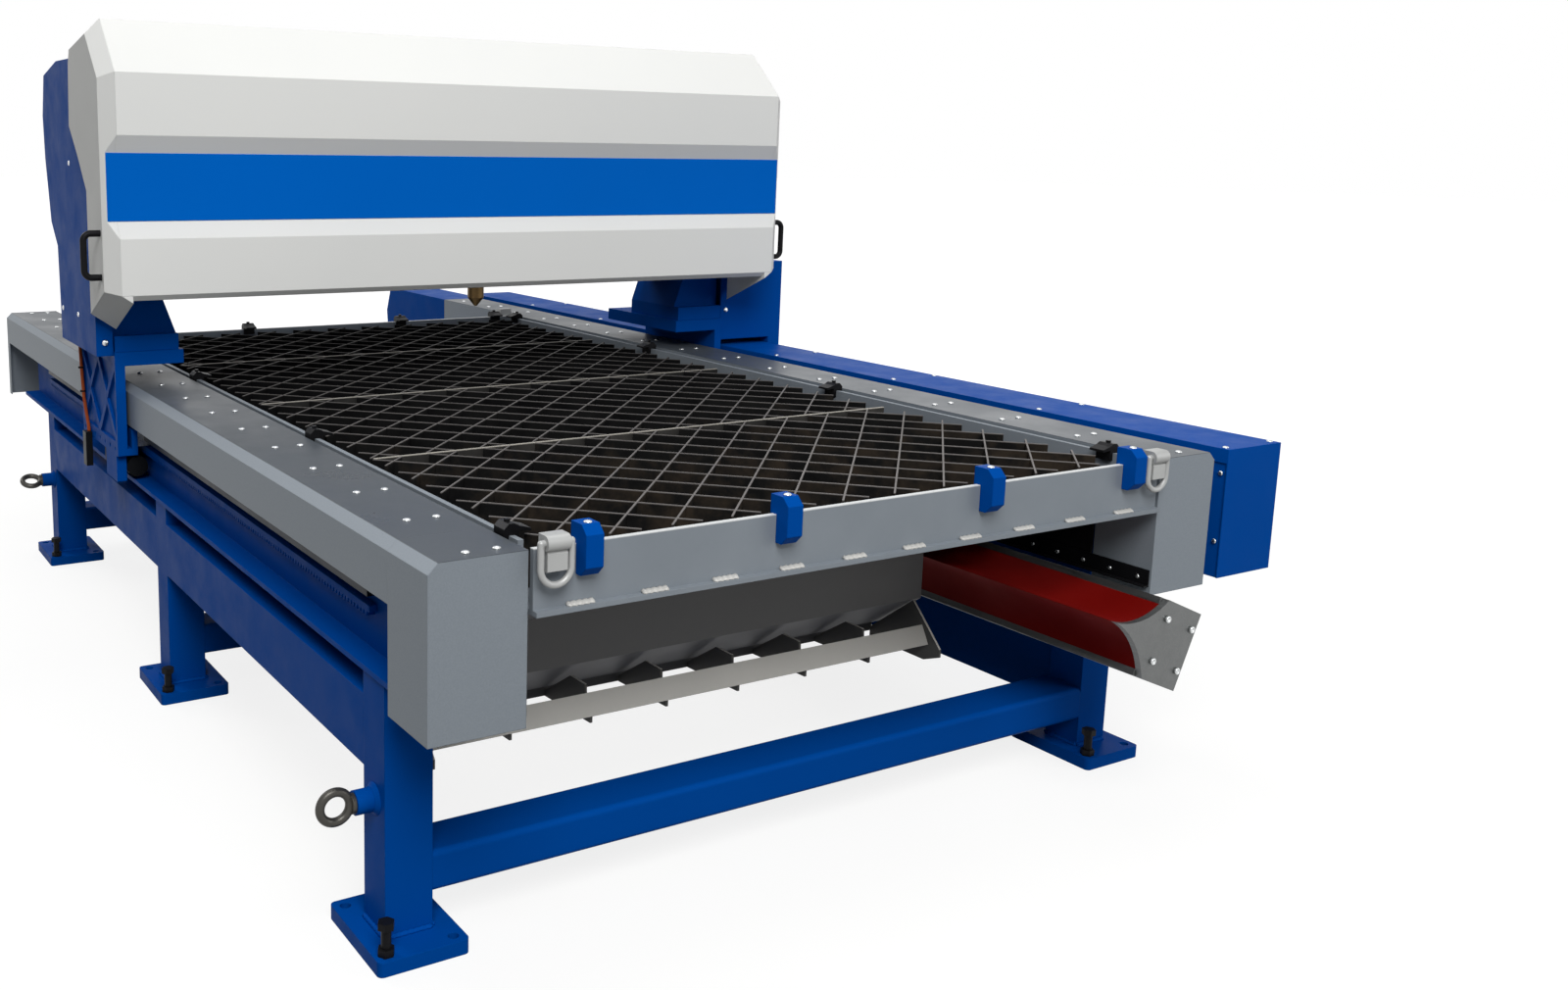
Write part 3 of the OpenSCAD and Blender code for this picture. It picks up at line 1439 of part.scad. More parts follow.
// Head plate with four cross bearings and two upright guides
module head_carriage() {
    z0 = bridge_z + cross_rail_w;
    z1 = bridge_z + bridge_h - cross_rail_w / 4;
    bearing = cross_rail_w * 1.25;
    bearing_x = head_w / 2 - bearing_in;
    color(dark_steel) translate([head_x, 0, 0]) difference() {
        union() {
            box([-head_w / 2, plate_y0, z0], [head_w / 2, plate_y1, z1]);
            for (s = [-1, 1], z = [rail_low_z, rail_high_z]) translate([s * bearing_x, 0, z]) difference() {
                box([-bearing, plate_y1, -bearing_half],
                    [bearing, bridge_y0 - cross_rail_t / 4, bearing_half]);
                box([-bearing - over, bridge_y0 - cross_rail_t - run_gap, -cross_rail_w / 2 - run_gap],
                    [bearing + over, bridge_y0, cross_rail_w / 2 + run_gap]);
            }
            for (s = [-1, 1]) translate([s * (guide_out - guide_w / 2), 0, 0])
                box([-guide_w / 2, plate_y0 - head_t * 0.7, z0], [guide_w / 2, plate_y0, z1]);
        }
        rod_y(cross_pinion_x - head_x, plate_y0 - over, plate_y1 + over, cross_axis_z, shaft_d);
    }
}

module head_motor() {
    color(black) difference() {
        rod_y(cross_pinion_x, plate_y0 - cross_motor_len, plate_y0, cross_axis_z, cross_motor_d);
        rod_y(cross_pinion_x, plate_y0 - 2 * head_t, plate_y0 + over, cross_axis_z,
            shaft_d * 0.8 + 2 * pin_gap);
    }
}

module cross_pinion() {
    gear_y0 = plate_y1 + run_gap * 2;
    gear_y1 = bridge_y0 - run_gap * 2;
    color(steel) {
        translate([cross_pinion_x, gear_y1, cross_axis_z]) rotate([90, 0, 0])
            linear_extrude(gear_y1 - gear_y0) mirror([0, 1])
                spur(cross_module, cross_teeth, tooth_slack_share * cross_module);
        rod_y(cross_pinion_x, plate_y0 - head_t, gear_y0, cross_axis_z, shaft_d * 0.8);
    }
}

// Upright slide with its clamp block and the torch
module torch_unit() {
    cap_len = torch_cap_d * 0.75;
    cone_len = torch_cap_d * 0.52;
    body_z = torch_tip_z + cone_len + cap_len;
    hold_z = bridge_z + bridge_h * 0.4;
    hold_h = bridge_h * 0.3;
    slide_z = bridge_z + bridge_h * 0.28;
    color(steel) {
        box([head_x - slide_half, plate_y0 - head_t, slide_z],
            [head_x + slide_half, plate_y0 - run_gap, slide_z + bridge_h]);
        difference() {
            box([head_x - torch_d * 0.9, torch_y - torch_d * 0.8, hold_z],
                [head_x + torch_d * 0.9, plate_y0 - head_t, hold_z + hold_h]);
            translate([head_x, torch_y, hold_z - over])
                cylinder(d = torch_d + 2 * pin_gap, h = hold_h + 2 * over);
        }
    }
    color(dark_steel) translate([head_x, torch_y, 0]) rotate_extrude() polygon([[0, torch_tip_z],
        [torch_cap_d * 0.09, torch_tip_z], [torch_cap_d / 2, torch_tip_z + cone_len],
        [torch_cap_d / 2, body_z], [torch_d / 2, body_z], [torch_d / 2, body_z + torch_len],
        [0, body_z + torch_len]]);
}

// Hood

// Outer line of the hood from the lower lip over the band to the rear edge of the top
hood_line = [[hood_front, hood_z], [hood_front, band_low_z],
    [hood_front + band_depth, band_low_z + band_slope], [hood_front + band_depth, band_high_z - band_slope],
    [hood_front, band_high_z], [hood_front, hood_face_z], [hood_front + ridge_back, ridge_z],
    [pivot_y + top_over, ridge_z - top_fall]];

module hood_shell() {
    color(white) {
        along_x(-hood_half, hood_half) folded(hood_line, -hood_t);
        along_x(-lobe_in + seat, lobe_in - seat) folded([[hood_front + chin_back, hood_z - chin_back],
            [hood_front, hood_z], [hood_front, hood_z + chin_back]], -hood_t);
    }
}

module hood_band() {
    half = hood_half + band_depth - band_t;
    color(blue) box([-half, hood_front + band_depth - band_t, band_low_z + band_slope + seat],
        [half, hood_front + band_depth, band_high_z - band_slope - seat]);
}

// Bevel cut of the hood end along an edge whose outward direction is given
module bevel_cut(y, z, turn) {
    translate([0, y, z]) rotate([turn, 0, 0]) linear_extrude(4 * hood_half, center = true)
        polygon([[hood_half - over, over], [hood_out + over, over], [hood_out + over, -hood_end_w - over]]);
}

// Hood end: front part with a hanging lobe, and the thinner ear that turns on the pivot
module hood_end() {
    back = end_back;
    lobe_z = hood_z - chin_h * 0.8;
    front_line = [[hood_front, lobe_z], [back, lobe_z], [back, ridge_z - top_fall * 0.4],
        [hood_front + ridge_back, ridge_z], [hood_front, hood_face_z], [hood_front, band_high_z],
        [hood_front + band_depth, band_high_z - band_slope], [hood_front + band_depth, band_low_z + band_slope],
        [hood_front, band_low_z]];
    ear_h = ridge_z - pivot_z;
    ear_line = [[back, pivot_z - ear_h * 2.1], [pivot_y - hood_end_w, pivot_z - ear_h * 1.45],
        [pivot_y + hood_end_w * 1.5, pivot_z - ear_h * 0.9], [pivot_y + hood_end_w, pivot_z + ear_h * 0.25],
        [pivot_y, pivot_z + ear_h * 0.78], [back, ridge_z - top_fall * 0.4]];
    pocket = hood_end_w * 1.15;
    pocket_y0 = hood_front + band_depth + pocket / 2;
    pocket_y1 = back - pocket / 2;
    pocket_z0 = hood_z + pocket / 2;
    pocket_z1 = hood_face_z - pocket / 2;
    difference() {
        union() {
            along_x(hood_half, hood_out) polygon(front_line);
            along_x(ear_in, hood_out) polygon(ear_line);
            box([lobe_in, hood_front, lobe_z], [hood_half + over, back, hood_z - seat]);
        }
        translate([hood_half, hood_front, hood_z]) rotate([-lobe_back_slope, -lobe_side_slope, 0])
            translate([-2 * chin_h, -2 * chin_h, -2 * chin_h]) cube([4 * chin_h, 4 * chin_h, 2 * chin_h]);
        box([hood_half - over, pocket_y0, pocket_z0], [hood_out - hood_t, pocket_y1, pocket_z1]);
        bevel_cut(hood_front, hood_face_z, 180);
        bevel_cut(hood_front + ridge_back, ridge_z, 90 + atan2(ridge_z - hood_face_z, ridge_back));
        bevel_cut(hood_front + ridge_back, ridge_z, 90 - atan2(top_fall, pivot_back + top_over - ridge_back));
        rod_x(ear_in - over, hood_out - ear_gap + pin_gap, pivot_y, pivot_z, pivot_d + 2 * pin_gap);
    }
}

module hood_ends() {
    color(white) both_sides() hood_end();
}

// Bow handles on the hood ends
module hood_handles() {
    y = hood_front + handle_in;
    z0 = hood_z + handle_up;
    bend = handle_d * 1.1;
    stem = hood_out + handle_reach - bend;
    color(black) both_sides() {
        translate([stem + bend, y, z0 + bend]) cylinder(d = handle_d, h = handle_len - 2 * bend);
        for (m = [0, 1]) translate([0, y, z0 + handle_len / 2]) mirror([0, 0, m])
            translate([0, 0, handle_len / 2]) {
                rod_x(hood_out, stem, 0, 0, handle_d);
                translate([stem, 0, -bend]) rotate([90, 0, 0]) rotate_extrude(angle = 90)
                    translate([bend, 0]) circle(d = handle_d);
            }
    }
}

legs();
foot_plates();
cross_tubes();
lower_side_beams();
upper_side_beams();
levelling_screws();
lock_nuts();
eye_bolts();
support_ledges();
guide_rails();
racks();
guards();
guard_spacers();
guard_end_boxes();
channel_tray();
channel_lid();
channel_brackets();
junction_box();
front_plate();
rear_plate();
side_bars();
section_bars_set();
slats_1();
slats_2();
slats_3();
slats_4();
edge_hooks();
sheet_clamps();
ring_brackets();
ring_front_left();
ring_front_right();
ring_rear_left();
ring_rear_right();
hopper();
section_partitions();
ladder_frame();
suction_rail();
suction_lips();
suction_end_plates();
side_skirts();
carriages();
bearing_blocks();
pedestals();
gear_motors();
pinion_left();
pinion_right();
gantry_beam();
side_covers();
limit_switch();
limit_cable();
cross_rails();
cross_rack();
hood_shell();
hood_band();
hood_ends();
hood_handles();
head_carriage();
head_motor();
cross_pinion();
torch_unit();
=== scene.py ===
# Looks of the plasma cutting table: finishes for every CAD node, and the small fixings that ride on them.
import math

import bmesh
import bpy
from mathutils import Matrix, Vector


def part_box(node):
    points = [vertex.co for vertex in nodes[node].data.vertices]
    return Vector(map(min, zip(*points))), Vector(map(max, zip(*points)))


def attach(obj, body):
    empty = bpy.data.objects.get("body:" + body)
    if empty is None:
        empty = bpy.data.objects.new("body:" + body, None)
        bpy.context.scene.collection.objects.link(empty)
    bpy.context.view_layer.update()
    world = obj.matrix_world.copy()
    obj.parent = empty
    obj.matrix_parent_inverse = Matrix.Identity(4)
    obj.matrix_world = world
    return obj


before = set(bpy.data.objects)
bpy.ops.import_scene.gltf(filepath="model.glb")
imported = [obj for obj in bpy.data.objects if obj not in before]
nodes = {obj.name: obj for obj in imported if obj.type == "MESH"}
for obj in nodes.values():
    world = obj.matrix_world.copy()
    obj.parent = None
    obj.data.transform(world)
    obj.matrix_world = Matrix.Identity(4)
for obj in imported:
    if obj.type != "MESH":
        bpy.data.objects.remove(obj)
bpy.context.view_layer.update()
MM = 0.001


# Camera at the photograph's place: yaw from +Y towards +X, lens and shifts for an image of 1600 x 1010
CAMERA_PLACE = Vector((-2.026, -3.8505, 1.5224))
CAMERA_YAW = math.radians(29.68)
CAMERA_PITCH = math.radians(-9.67)
CAMERA_ROLL = math.radians(0.82)
IMAGE_WIDTH = 1600
IMAGE_HEIGHT = 1010
FOCAL_PIXELS = 1457.7
OPTICAL_AXIS = (543.9, 399.5)
SENSOR_WIDTH = 36
VIEW_LIMIT = 200


def photo_camera():
    ahead = Vector((math.sin(CAMERA_YAW), math.cos(CAMERA_YAW), 0))
    forward = ahead * math.cos(CAMERA_PITCH) + Vector((0, 0, math.sin(CAMERA_PITCH)))
    level = Vector((math.cos(CAMERA_YAW), -math.sin(CAMERA_YAW), 0))
    above = level.cross(forward)
    right = level * math.cos(CAMERA_ROLL) + above * math.sin(CAMERA_ROLL)
    up = above * math.cos(CAMERA_ROLL) - level * math.sin(CAMERA_ROLL)
    data = bpy.data.cameras.new("photo_camera")
    data.sensor_width = SENSOR_WIDTH
    data.lens = FOCAL_PIXELS / IMAGE_WIDTH * SENSOR_WIDTH
    data.shift_x = (IMAGE_WIDTH / 2 - OPTICAL_AXIS[0]) / IMAGE_WIDTH
    data.shift_y = (OPTICAL_AXIS[1] - IMAGE_HEIGHT / 2) / IMAGE_WIDTH
    data.clip_end = VIEW_LIMIT
    camera = bpy.data.objects.new("photo_camera", data)
    turn = Matrix((right, up, -forward)).transposed().to_4x4()
    camera.matrix_world = Matrix.Translation(CAMERA_PLACE) @ turn
    bpy.context.scene.collection.objects.link(camera)
    bpy.context.scene.camera = camera


# Finishes

SLAT_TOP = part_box("slats_1")[1].z
SLAT_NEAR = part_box("slats_1")[0].y
SLAT_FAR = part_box("slats_4")[1].y
GUARD_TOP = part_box("guards")[1].z
TORCH_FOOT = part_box("torch_unit")[0].z


def linear(colour):
    """Linear RGBA of an sRGB hex colour."""
    parts = [int(colour[i:i + 2], 16) / 255 for i in (1, 3, 5)]
    return tuple(c / 12.92 if c <= 0.04045 else ((c + 0.055) / 1.055) ** 2.4 for c in parts) + (1.0,)


def add(tree, kind, inputs=None, **settings):
    """Adds a node, sets its properties, and sets or links its inputs."""
    made = tree.nodes.new(kind)
    for name, value in settings.items():
        setattr(made, name, value)
    for name, value in (inputs or {}).items():
        if isinstance(value, bpy.types.NodeSocket):
            tree.links.new(value, made.inputs[name])
        else:
            made.inputs[name].default_value = value
    return made


def finish(name, **shader_values):
    """Makes a material with even shader values; returns it, its tree, its shader and object coordinates."""
    made = bpy.data.materials.new(name)
    made.use_nodes = True
    tree = made.node_tree
    shader = tree.nodes["Principled BSDF"]
    for socket, value in shader_values.items():
        shader.inputs[socket.replace("_", " ")].default_value = value
    where = add(tree, "ShaderNodeTexCoord").outputs["Object"]
    return made, tree, shader, where


def surface(tree, shader, tone, gloss, relief, strength, depth, edge=0):
    """Links the nodes for colour, roughness and relief to a shader; an edge radius softens sharp edges."""
    bump = add(tree, "ShaderNodeBump",
               {"Height": relief.outputs[0], "Strength": strength, "Distance": depth})
    if edge:
        soft = add(tree, "ShaderNodeBevel", {"Radius": edge}, samples=4)
        tree.links.new(soft.outputs[0], bump.inputs["Normal"])
    for made, socket in ((tone, "Base Color"), (gloss, "Roughness"), (bump, "Normal")):
        tree.links.new(made.outputs[0], shader.inputs[socket])


def per_mm(size):
    """Texture scale whose pattern repeats about every so many millimetres."""
    return 1 / (size * MM)


def enamel(name, base, shade, roughness):
    # Stove enamel sprayed on welded steel: even colour with a faint orange peel, broad tone drift and light
    # dust that dulls the gloss; folded and cut edges catch a soft line of light.
    made, tree, shader, where = finish(name, IOR=1.5, Specular_IOR_Level=0.012)
    drift = add(tree, "ShaderNodeTexNoise", {"Vector": where, "Scale": per_mm(600), "Detail": 3.0})
    dust = add(tree, "ShaderNodeTexNoise",
               {"Vector": where, "Scale": per_mm(90), "Detail": 6.0, "Roughness": 0.65})
    peel = add(tree, "ShaderNodeTexNoise", {"Vector": where, "Scale": per_mm(6), "Detail": 2.0})
    tone = add(tree, "ShaderNodeMixRGB",
               {"Fac": drift.outputs[0], "Color1": linear(base), "Color2": linear(shade)})
    gloss = add(tree, "ShaderNodeMapRange",
                {"Value": dust.outputs[0], "From Min": 0.35, "From Max": 0.7,
                 "To Min": roughness - 0.05, "To Max": roughness + 0.1})
    surface(tree, shader, tone, gloss, peel, strength=0.06, depth=0.4 * MM, edge=2.5 * MM)
    return made


def satin_guard_coat():
    # Grey stoving lacquer with metal flake on folded sheet: satin on the walked-on tops, where boots have
    # polished it and dust lies in patches, duller on the upright faces. The tops are also painted a darker
    # grey than the upright faces, as a painted dark reflection.
    made, tree, shader, where = finish("Satin grey metal-flake coat", Metallic=0.12, Specular_IOR_Level=0.1)
    place = add(tree, "ShaderNodeSeparateXYZ", {"Vector": where})
    top = add(tree, "ShaderNodeMapRange",
              {"Value": place.outputs["Z"],
               "From Min": GUARD_TOP - 1.5 * MM, "From Max": GUARD_TOP - 0.3 * MM})
    flake = add(tree, "ShaderNodeTexNoise", {"Vector": where, "Scale": per_mm(3), "Detail": 2.0})
    patches = add(tree, "ShaderNodeTexNoise",
                  {"Vector": where, "Scale": per_mm(260), "Detail": 5.0, "Roughness": 0.6})
    side = add(tree, "ShaderNodeMixRGB",
               {"Fac": flake.outputs[0], "Color1": linear("#7d848c"), "Color2": linear("#8a9299")})
    # Painted reflection: the tops get a darker grey than the sides, varied by the dust patches
    dust_and_dark_reflection = add(tree, "ShaderNodeMixRGB",
               {"Fac": patches.outputs[0], "Color1": linear("#40464c"), "Color2": linear("#53585d")})
    tone = add(tree, "ShaderNodeMixRGB",
               {"Fac": top.outputs[0], "Color1": side.outputs[0], "Color2": dust_and_dark_reflection.outputs[0]})
    polish = add(tree, "ShaderNodeMapRange",
                 {"Value": patches.outputs[0], "From Min": 0.3, "From Max": 0.7,
                  "To Min": 0.26, "To Max": 0.42})
    gloss = add(tree, "ShaderNodeMapRange",
                {"Value": top.outputs[0], "To Min": 0.46, "To Max": polish.outputs[0]})
    surface(tree, shader, tone, gloss, flake, strength=0.05, depth=0.3 * MM, edge=2 * MM)
    return made


def scraped_steel(name, stains, edge_far, edge_near):
    # Hot-rolled strip: black mill scale that turns to brown spatter stains near the front, where most sheets
    # are cut, and a thin bare edge on top, bright where the sheets scrape it; the edge is painted lighter
    # still as a highlight, brighter at the front and darker towards the back.
    made, tree, shader, where = finish(name, Metallic=0.15, Specular_IOR_Level=0.04)
    place = add(tree, "ShaderNodeSeparateXYZ", {"Vector": where})
    edge = add(tree, "ShaderNodeMapRange",
               {"Value": place.outputs["Z"],
                "From Min": SLAT_TOP - 2.5 * MM, "From Max": SLAT_TOP - 1.0 * MM})
    used = add(tree, "ShaderNodeMapRange",
               {"Value": place.outputs["Y"], "From Min": SLAT_FAR, "From Max": SLAT_NEAR})
    rust = add(tree, "ShaderNodeTexNoise",
               {"Vector": where, "Scale": per_mm(110), "Detail": 7.0, "Roughness": 0.65})
    stain = add(tree, "ShaderNodeMath", {0: rust.outputs[0], 1: used.outputs[0]}, operation="MULTIPLY")
    scale = linear(stains[0][1])
    for (low, _), (high, colour) in zip(stains, stains[1:]):
        share = add(tree, "ShaderNodeMapRange",
                    {"Value": stain.outputs[0], "From Min": low, "From Max": high})
        scale = add(tree, "ShaderNodeMixRGB",
                    {"Fac": share.outputs[0], "Color1": scale, "Color2": linear(colour)}).outputs[0]
    # Top edge colour: bare scraped metal with a painted highlight, fading darker towards the back
    bare_edge_and_highlight = add(tree, "ShaderNodeMixRGB",
                 {"Fac": used.outputs[0], "Color1": linear(edge_far), "Color2": linear(edge_near)})
    tone = add(tree, "ShaderNodeMixRGB",
               {"Fac": edge.outputs[0], "Color1": scale, "Color2": bare_edge_and_highlight.outputs[0]})
    gloss = add(tree, "ShaderNodeMapRange",
                {"Value": rust.outputs[0], "From Min": 0.3, "From Max": 0.7,
                 "To Min": 0.4, "To Max": 0.65})
    surface(tree, shader, tone, gloss, rust, strength=0.3, depth=1 * MM)
    return made


def matt_coat(name, base, shade, roughness, metallic, top_edge_highlight=None, upward_face_light=None):
    # Thin matt coat over steel: cloudy, slightly uneven, with a fine grain. A coat with a top edge highlight
    # gets a painted highlight, a light band along the upper edge of the plate at the height of the guards; a
    # coat with upward face light is painted paler on the faces that look up, as painted light from above.
    made, tree, shader, where = finish(name, Metallic=metallic, Specular_IOR_Level=0.06)
    cloud = add(tree, "ShaderNodeTexNoise",
                {"Vector": where, "Scale": per_mm(180), "Detail": 6.0, "Roughness": 0.6})
    grain = add(tree, "ShaderNodeTexNoise", {"Vector": where, "Scale": per_mm(4), "Detail": 3.0})
    tone = add(tree, "ShaderNodeMixRGB",
               {"Fac": cloud.outputs[0], "Color1": linear(base), "Color2": linear(shade)})
    # Painted highlight: a light band along the upper edge of the plate, where the edge catches light
    if top_edge_highlight:
        place = add(tree, "ShaderNodeSeparateXYZ", {"Vector": where})
        edge = add(tree, "ShaderNodeMapRange",
                   {"Value": place.outputs["Z"],
                    "From Min": GUARD_TOP - 2.5 * MM, "From Max": GUARD_TOP - 0.8 * MM})
        tone = add(tree, "ShaderNodeMixRGB",
                   {"Fac": edge.outputs[0], "Color1": tone.outputs[0], "Color2": linear(top_edge_highlight)})
    # Painted light: faces that look up are painted paler, as if lit from above
    if upward_face_light:
        geometry = add(tree, "ShaderNodeNewGeometry")
        facing = add(tree, "ShaderNodeSeparateXYZ", {"Vector": geometry.outputs["True Normal"]})
        upward_light_share = add(tree, "ShaderNodeMapRange",
                      {"Value": facing.outputs["Z"], "From Min": 0.1, "From Max": 0.4})
        tone = add(tree, "ShaderNodeMixRGB",
                   {"Fac": upward_light_share.outputs[0], "Color1": tone.outputs[0], "Color2": linear(upward_face_light)})
    gloss = add(tree, "ShaderNodeMapRange",
                {"Value": cloud.outputs[0], "From Min": 0.3, "From Max": 0.7,
                 "To Min": roughness - 0.08, "To Max": roughness + 0.08})
    surface(tree, shader, tone, gloss, grain, strength=0.12, depth=0.4 * MM, edge=1.5 * MM)
    return made


def ground_steel(name, base, shade, roughness):
    # Ground or drawn bare metal: fine lines along the table, a thin oil film and spots of tarnish.
    made, tree, shader, where = finish(name, Metallic=1.0)
    lines = add(tree, "ShaderNodeMapping", {"Vector": where, "Scale": (40, 1, 40)})
    drawn = add(tree, "ShaderNodeTexNoise",
                {"Vector": lines.outputs[0], "Scale": per_mm(120), "Detail": 3.0})
    spots = add(tree, "ShaderNodeTexNoise",
                {"Vector": where, "Scale": per_mm(40), "Detail": 6.0, "Roughness": 0.7})
    tone = add(tree, "ShaderNodeMixRGB",
               {"Fac": spots.outputs[0], "Color1": linear(base), "Color2": linear(shade)})
    gloss = add(tree, "ShaderNodeMapRange",
                {"Value": drawn.outputs[0], "From Min": 0.3, "From Max": 0.7,
                 "To Min": roughness - 0.06, "To Max": roughness + 0.1})
    surface(tree, shader, tone, gloss, drawn, strength=0.05, depth=0.3 * MM, edge=1 * MM)
    return made


def moulded_rubber(name, base, shade, roughness):
    # Pressed sheet rubber or cable sheath: soft dull sheen with bloom and fine dimples.
    made, tree, shader, where = finish(name, IOR=1.52, Specular_IOR_Level=0.06)
    bloom = add(tree, "ShaderNodeTexNoise",
                {"Vector": where, "Scale": per_mm(220), "Detail": 5.0, "Roughness": 0.6})
    dimple = add(tree, "ShaderNodeTexNoise", {"Vector": where, "Scale": per_mm(5), "Detail": 2.0})
    tone = add(tree, "ShaderNodeMixRGB",
               {"Fac": bloom.outputs[0], "Color1": linear(base), "Color2": linear(shade)})
    gloss = add(tree, "ShaderNodeMapRange",
                {"Value": bloom.outputs[0], "From Min": 0.3, "From Max": 0.7,
                 "To Min": roughness - 0.06, "To Max": roughness + 0.1})
    surface(tree, shader, tone, gloss, dimple, strength=0.1, depth=0.3 * MM)
    return made


def torch_metals():
    # Dull grey metal on slide, holder and body; the cap at the foot is brass browned by heat.
    made, tree, shader, where = finish("Torch brass and anodised slide", Metallic=0.9)
    place = add(tree, "ShaderNodeSeparateXYZ", {"Vector": where})
    heat = add(tree, "ShaderNodeTexNoise",
               {"Vector": where, "Scale": per_mm(14), "Detail": 5.0, "Roughness": 0.7})
    cap = add(tree, "ShaderNodeMapRange",
              {"Value": place.outputs["Z"],
               "From Min": TORCH_FOOT + 66.5 * MM, "From Max": TORCH_FOOT + 65.8 * MM})
    brass = add(tree, "ShaderNodeMixRGB",
                {"Fac": heat.outputs[0], "Color1": linear("#4a3c2c"), "Color2": linear("#8a6f45")})
    alloy = add(tree, "ShaderNodeMixRGB",
                {"Fac": heat.outputs[0], "Color1": linear("#55585c"), "Color2": linear("#6a6d70")})
    tone = add(tree, "ShaderNodeMixRGB",
               {"Fac": cap.outputs[0], "Color1": alloy.outputs[0], "Color2": brass.outputs[0]})
    gloss = add(tree, "ShaderNodeMapRange",
                {"Value": heat.outputs[0], "From Min": 0.3, "From Max": 0.7,
                 "To Min": 0.3, "To Max": 0.5})
    tree.links.new(tone.outputs[0], shader.inputs["Base Color"])
    tree.links.new(gloss.outputs[0], shader.inputs["Roughness"])
    return made


BLUE = enamel("Blue stove enamel", "#004ba2", "#004495", 0.4)
BAND_BLUE = enamel("Blue band enamel", "#0066ca", "#0062c2", 0.45)
WHITE = enamel("White stove enamel", "#e9e9e6", "#e1e2e0", 0.36)
GUARD_GREY = satin_guard_coat()
# The plates carry a painted highlight along their top edge
PLATE_GREY = matt_coat("Grey primer coat", "#8b9299", "#7f868d", 0.5, 0.08, top_edge_highlight="#d4d6d6")
RING_SILVER = matt_coat("Silver paint on forged steel", "#b9bab9", "#a3a4a3", 0.45, 0.3)
HOPPER_GREY = matt_coat("Dark zinc coat", "#6a6a6a", "#797877", 0.55, 0.08)
# The ladder is painted paler on its upward faces as painted light
LADDER_GREY = matt_coat("Zinc coat with painted light on upward faces", "#4c4b4a", "#5a5957", 0.5, 0.08, upward_face_light="#bfbdb8")
BLACK_OXIDE = matt_coat("Black oxide", "#141416", "#1e1e20", 0.4, 0.4)
RAIL_STEEL = matt_coat("Oiled black rail steel", "#1d2025", "#282b31", 0.45, 0.3)
FORGED = matt_coat("Oiled forged steel", "#393835", "#5b5955", 0.34, 0.6)
BLACK_COAT = matt_coat("Black housing coat", "#101113", "#1a1b1d", 0.42, 0.1)
# Slats and bars: the light top edge is part bare metal, part painted highlight
SLAT = scraped_steel("Burnt slat steel", [(0.2, "#101011"), (0.4, "#1b1b1b"), (0.58, "#362f28")],
                     "#2a2928", "#767270")
BAR = scraped_steel("Scraped bar steel", [(0.2, "#262626"), (0.6, "#4a4845")], "#77746f", "#bdb8ae")
STEEL = ground_steel("Ground steel", "#a8abad", "#8e9193", 0.3)
ZINC = ground_steel("Bright zinc", "#d2d4d4", "#bcbfc0", 0.26)
ALUMINIUM = ground_steel("Extruded aluminium", "#747575", "#626464", 0.45)
LIP_RED = moulded_rubber("Red sheet rubber", "#740502", "#5c0401", 0.7)
SHEATH = moulded_rubber("Orange cable sheath", "#b4562c", "#9c4523", 0.5)
TORCH = torch_metals()
WELD = matt_coat("Wire-brushed weld", "#d0cfcb", "#aeada9", 0.55, 0.2)

NODE_FINISH = {
    BLUE: ["legs", "foot_plates", "cross_tubes", "lower_side_beams", "upper_side_beams", "support_ledges",
           "channel_tray", "channel_lid", "channel_brackets", "junction_box", "edge_hooks", "carriages",
           "pedestals", "gantry_beam", "side_covers", "racks"],
    BAND_BLUE: ["hood_band"],
    WHITE: ["hood_shell", "hood_ends"],
    GUARD_GREY: ["guards", "guard_end_boxes"],
    PLATE_GREY: ["front_plate", "rear_plate", "guard_spacers", "side_bars"],
    RING_SILVER: ["ring_brackets", "ring_front_left", "ring_front_right", "ring_rear_left",
                  "ring_rear_right"],
    HOPPER_GREY: ["hopper", "section_partitions"],
    LADDER_GREY: ["ladder_frame"],
    BLACK_OXIDE: ["levelling_screws", "lock_nuts", "sheet_clamps", "side_skirts", "cross_rack",
                  "hood_handles"],
    RAIL_STEEL: ["guide_rails"],
    FORGED: ["eye_bolts"],
    BLACK_COAT: ["gear_motors", "head_motor", "limit_switch"],
    SLAT: ["slats_1", "slats_2", "slats_3", "slats_4"],
    BAR: ["section_bars_set"],
    STEEL: ["bearing_blocks", "pinion_left", "pinion_right", "cross_rails", "cross_pinion"],
    ALUMINIUM: ["suction_rail", "suction_end_plates", "head_carriage"],
    LIP_RED: ["suction_lips"],
    SHEATH: ["limit_cable"],
    TORCH: ["torch_unit"],
}


def dress_nodes():
    for material, names in NODE_FINISH.items():
        for name in names:
            slots = nodes[name].data.materials
            slots.clear()
            slots.append(material)


# Small fixings

# How far a head or a weld is sunk into the face that carries it
SINK = 0.2 * MM

# The end boxes and the front plate have their front faces in one plane
front_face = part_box("guard_end_boxes")[0].y
guard_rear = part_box("guards")[1].y
plate_low, plate_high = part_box("front_plate")
lid_low, lid_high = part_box("channel_lid")
cover_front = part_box("side_covers")[0].y


def piece(name, shape, material, body, smooth=True):
    """Turns a bmesh into an object of the scene that rides on a body."""
    bmesh.ops.recalc_face_normals(shape, faces=shape.faces)
    data = bpy.data.meshes.new(name)
    shape.to_mesh(data)
    shape.free()
    for face in data.polygons:
        face.use_smooth = smooth
    data.materials.append(material)
    made = bpy.data.objects.new(name, data)
    bpy.context.scene.collection.objects.link(made)
    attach(made, body)


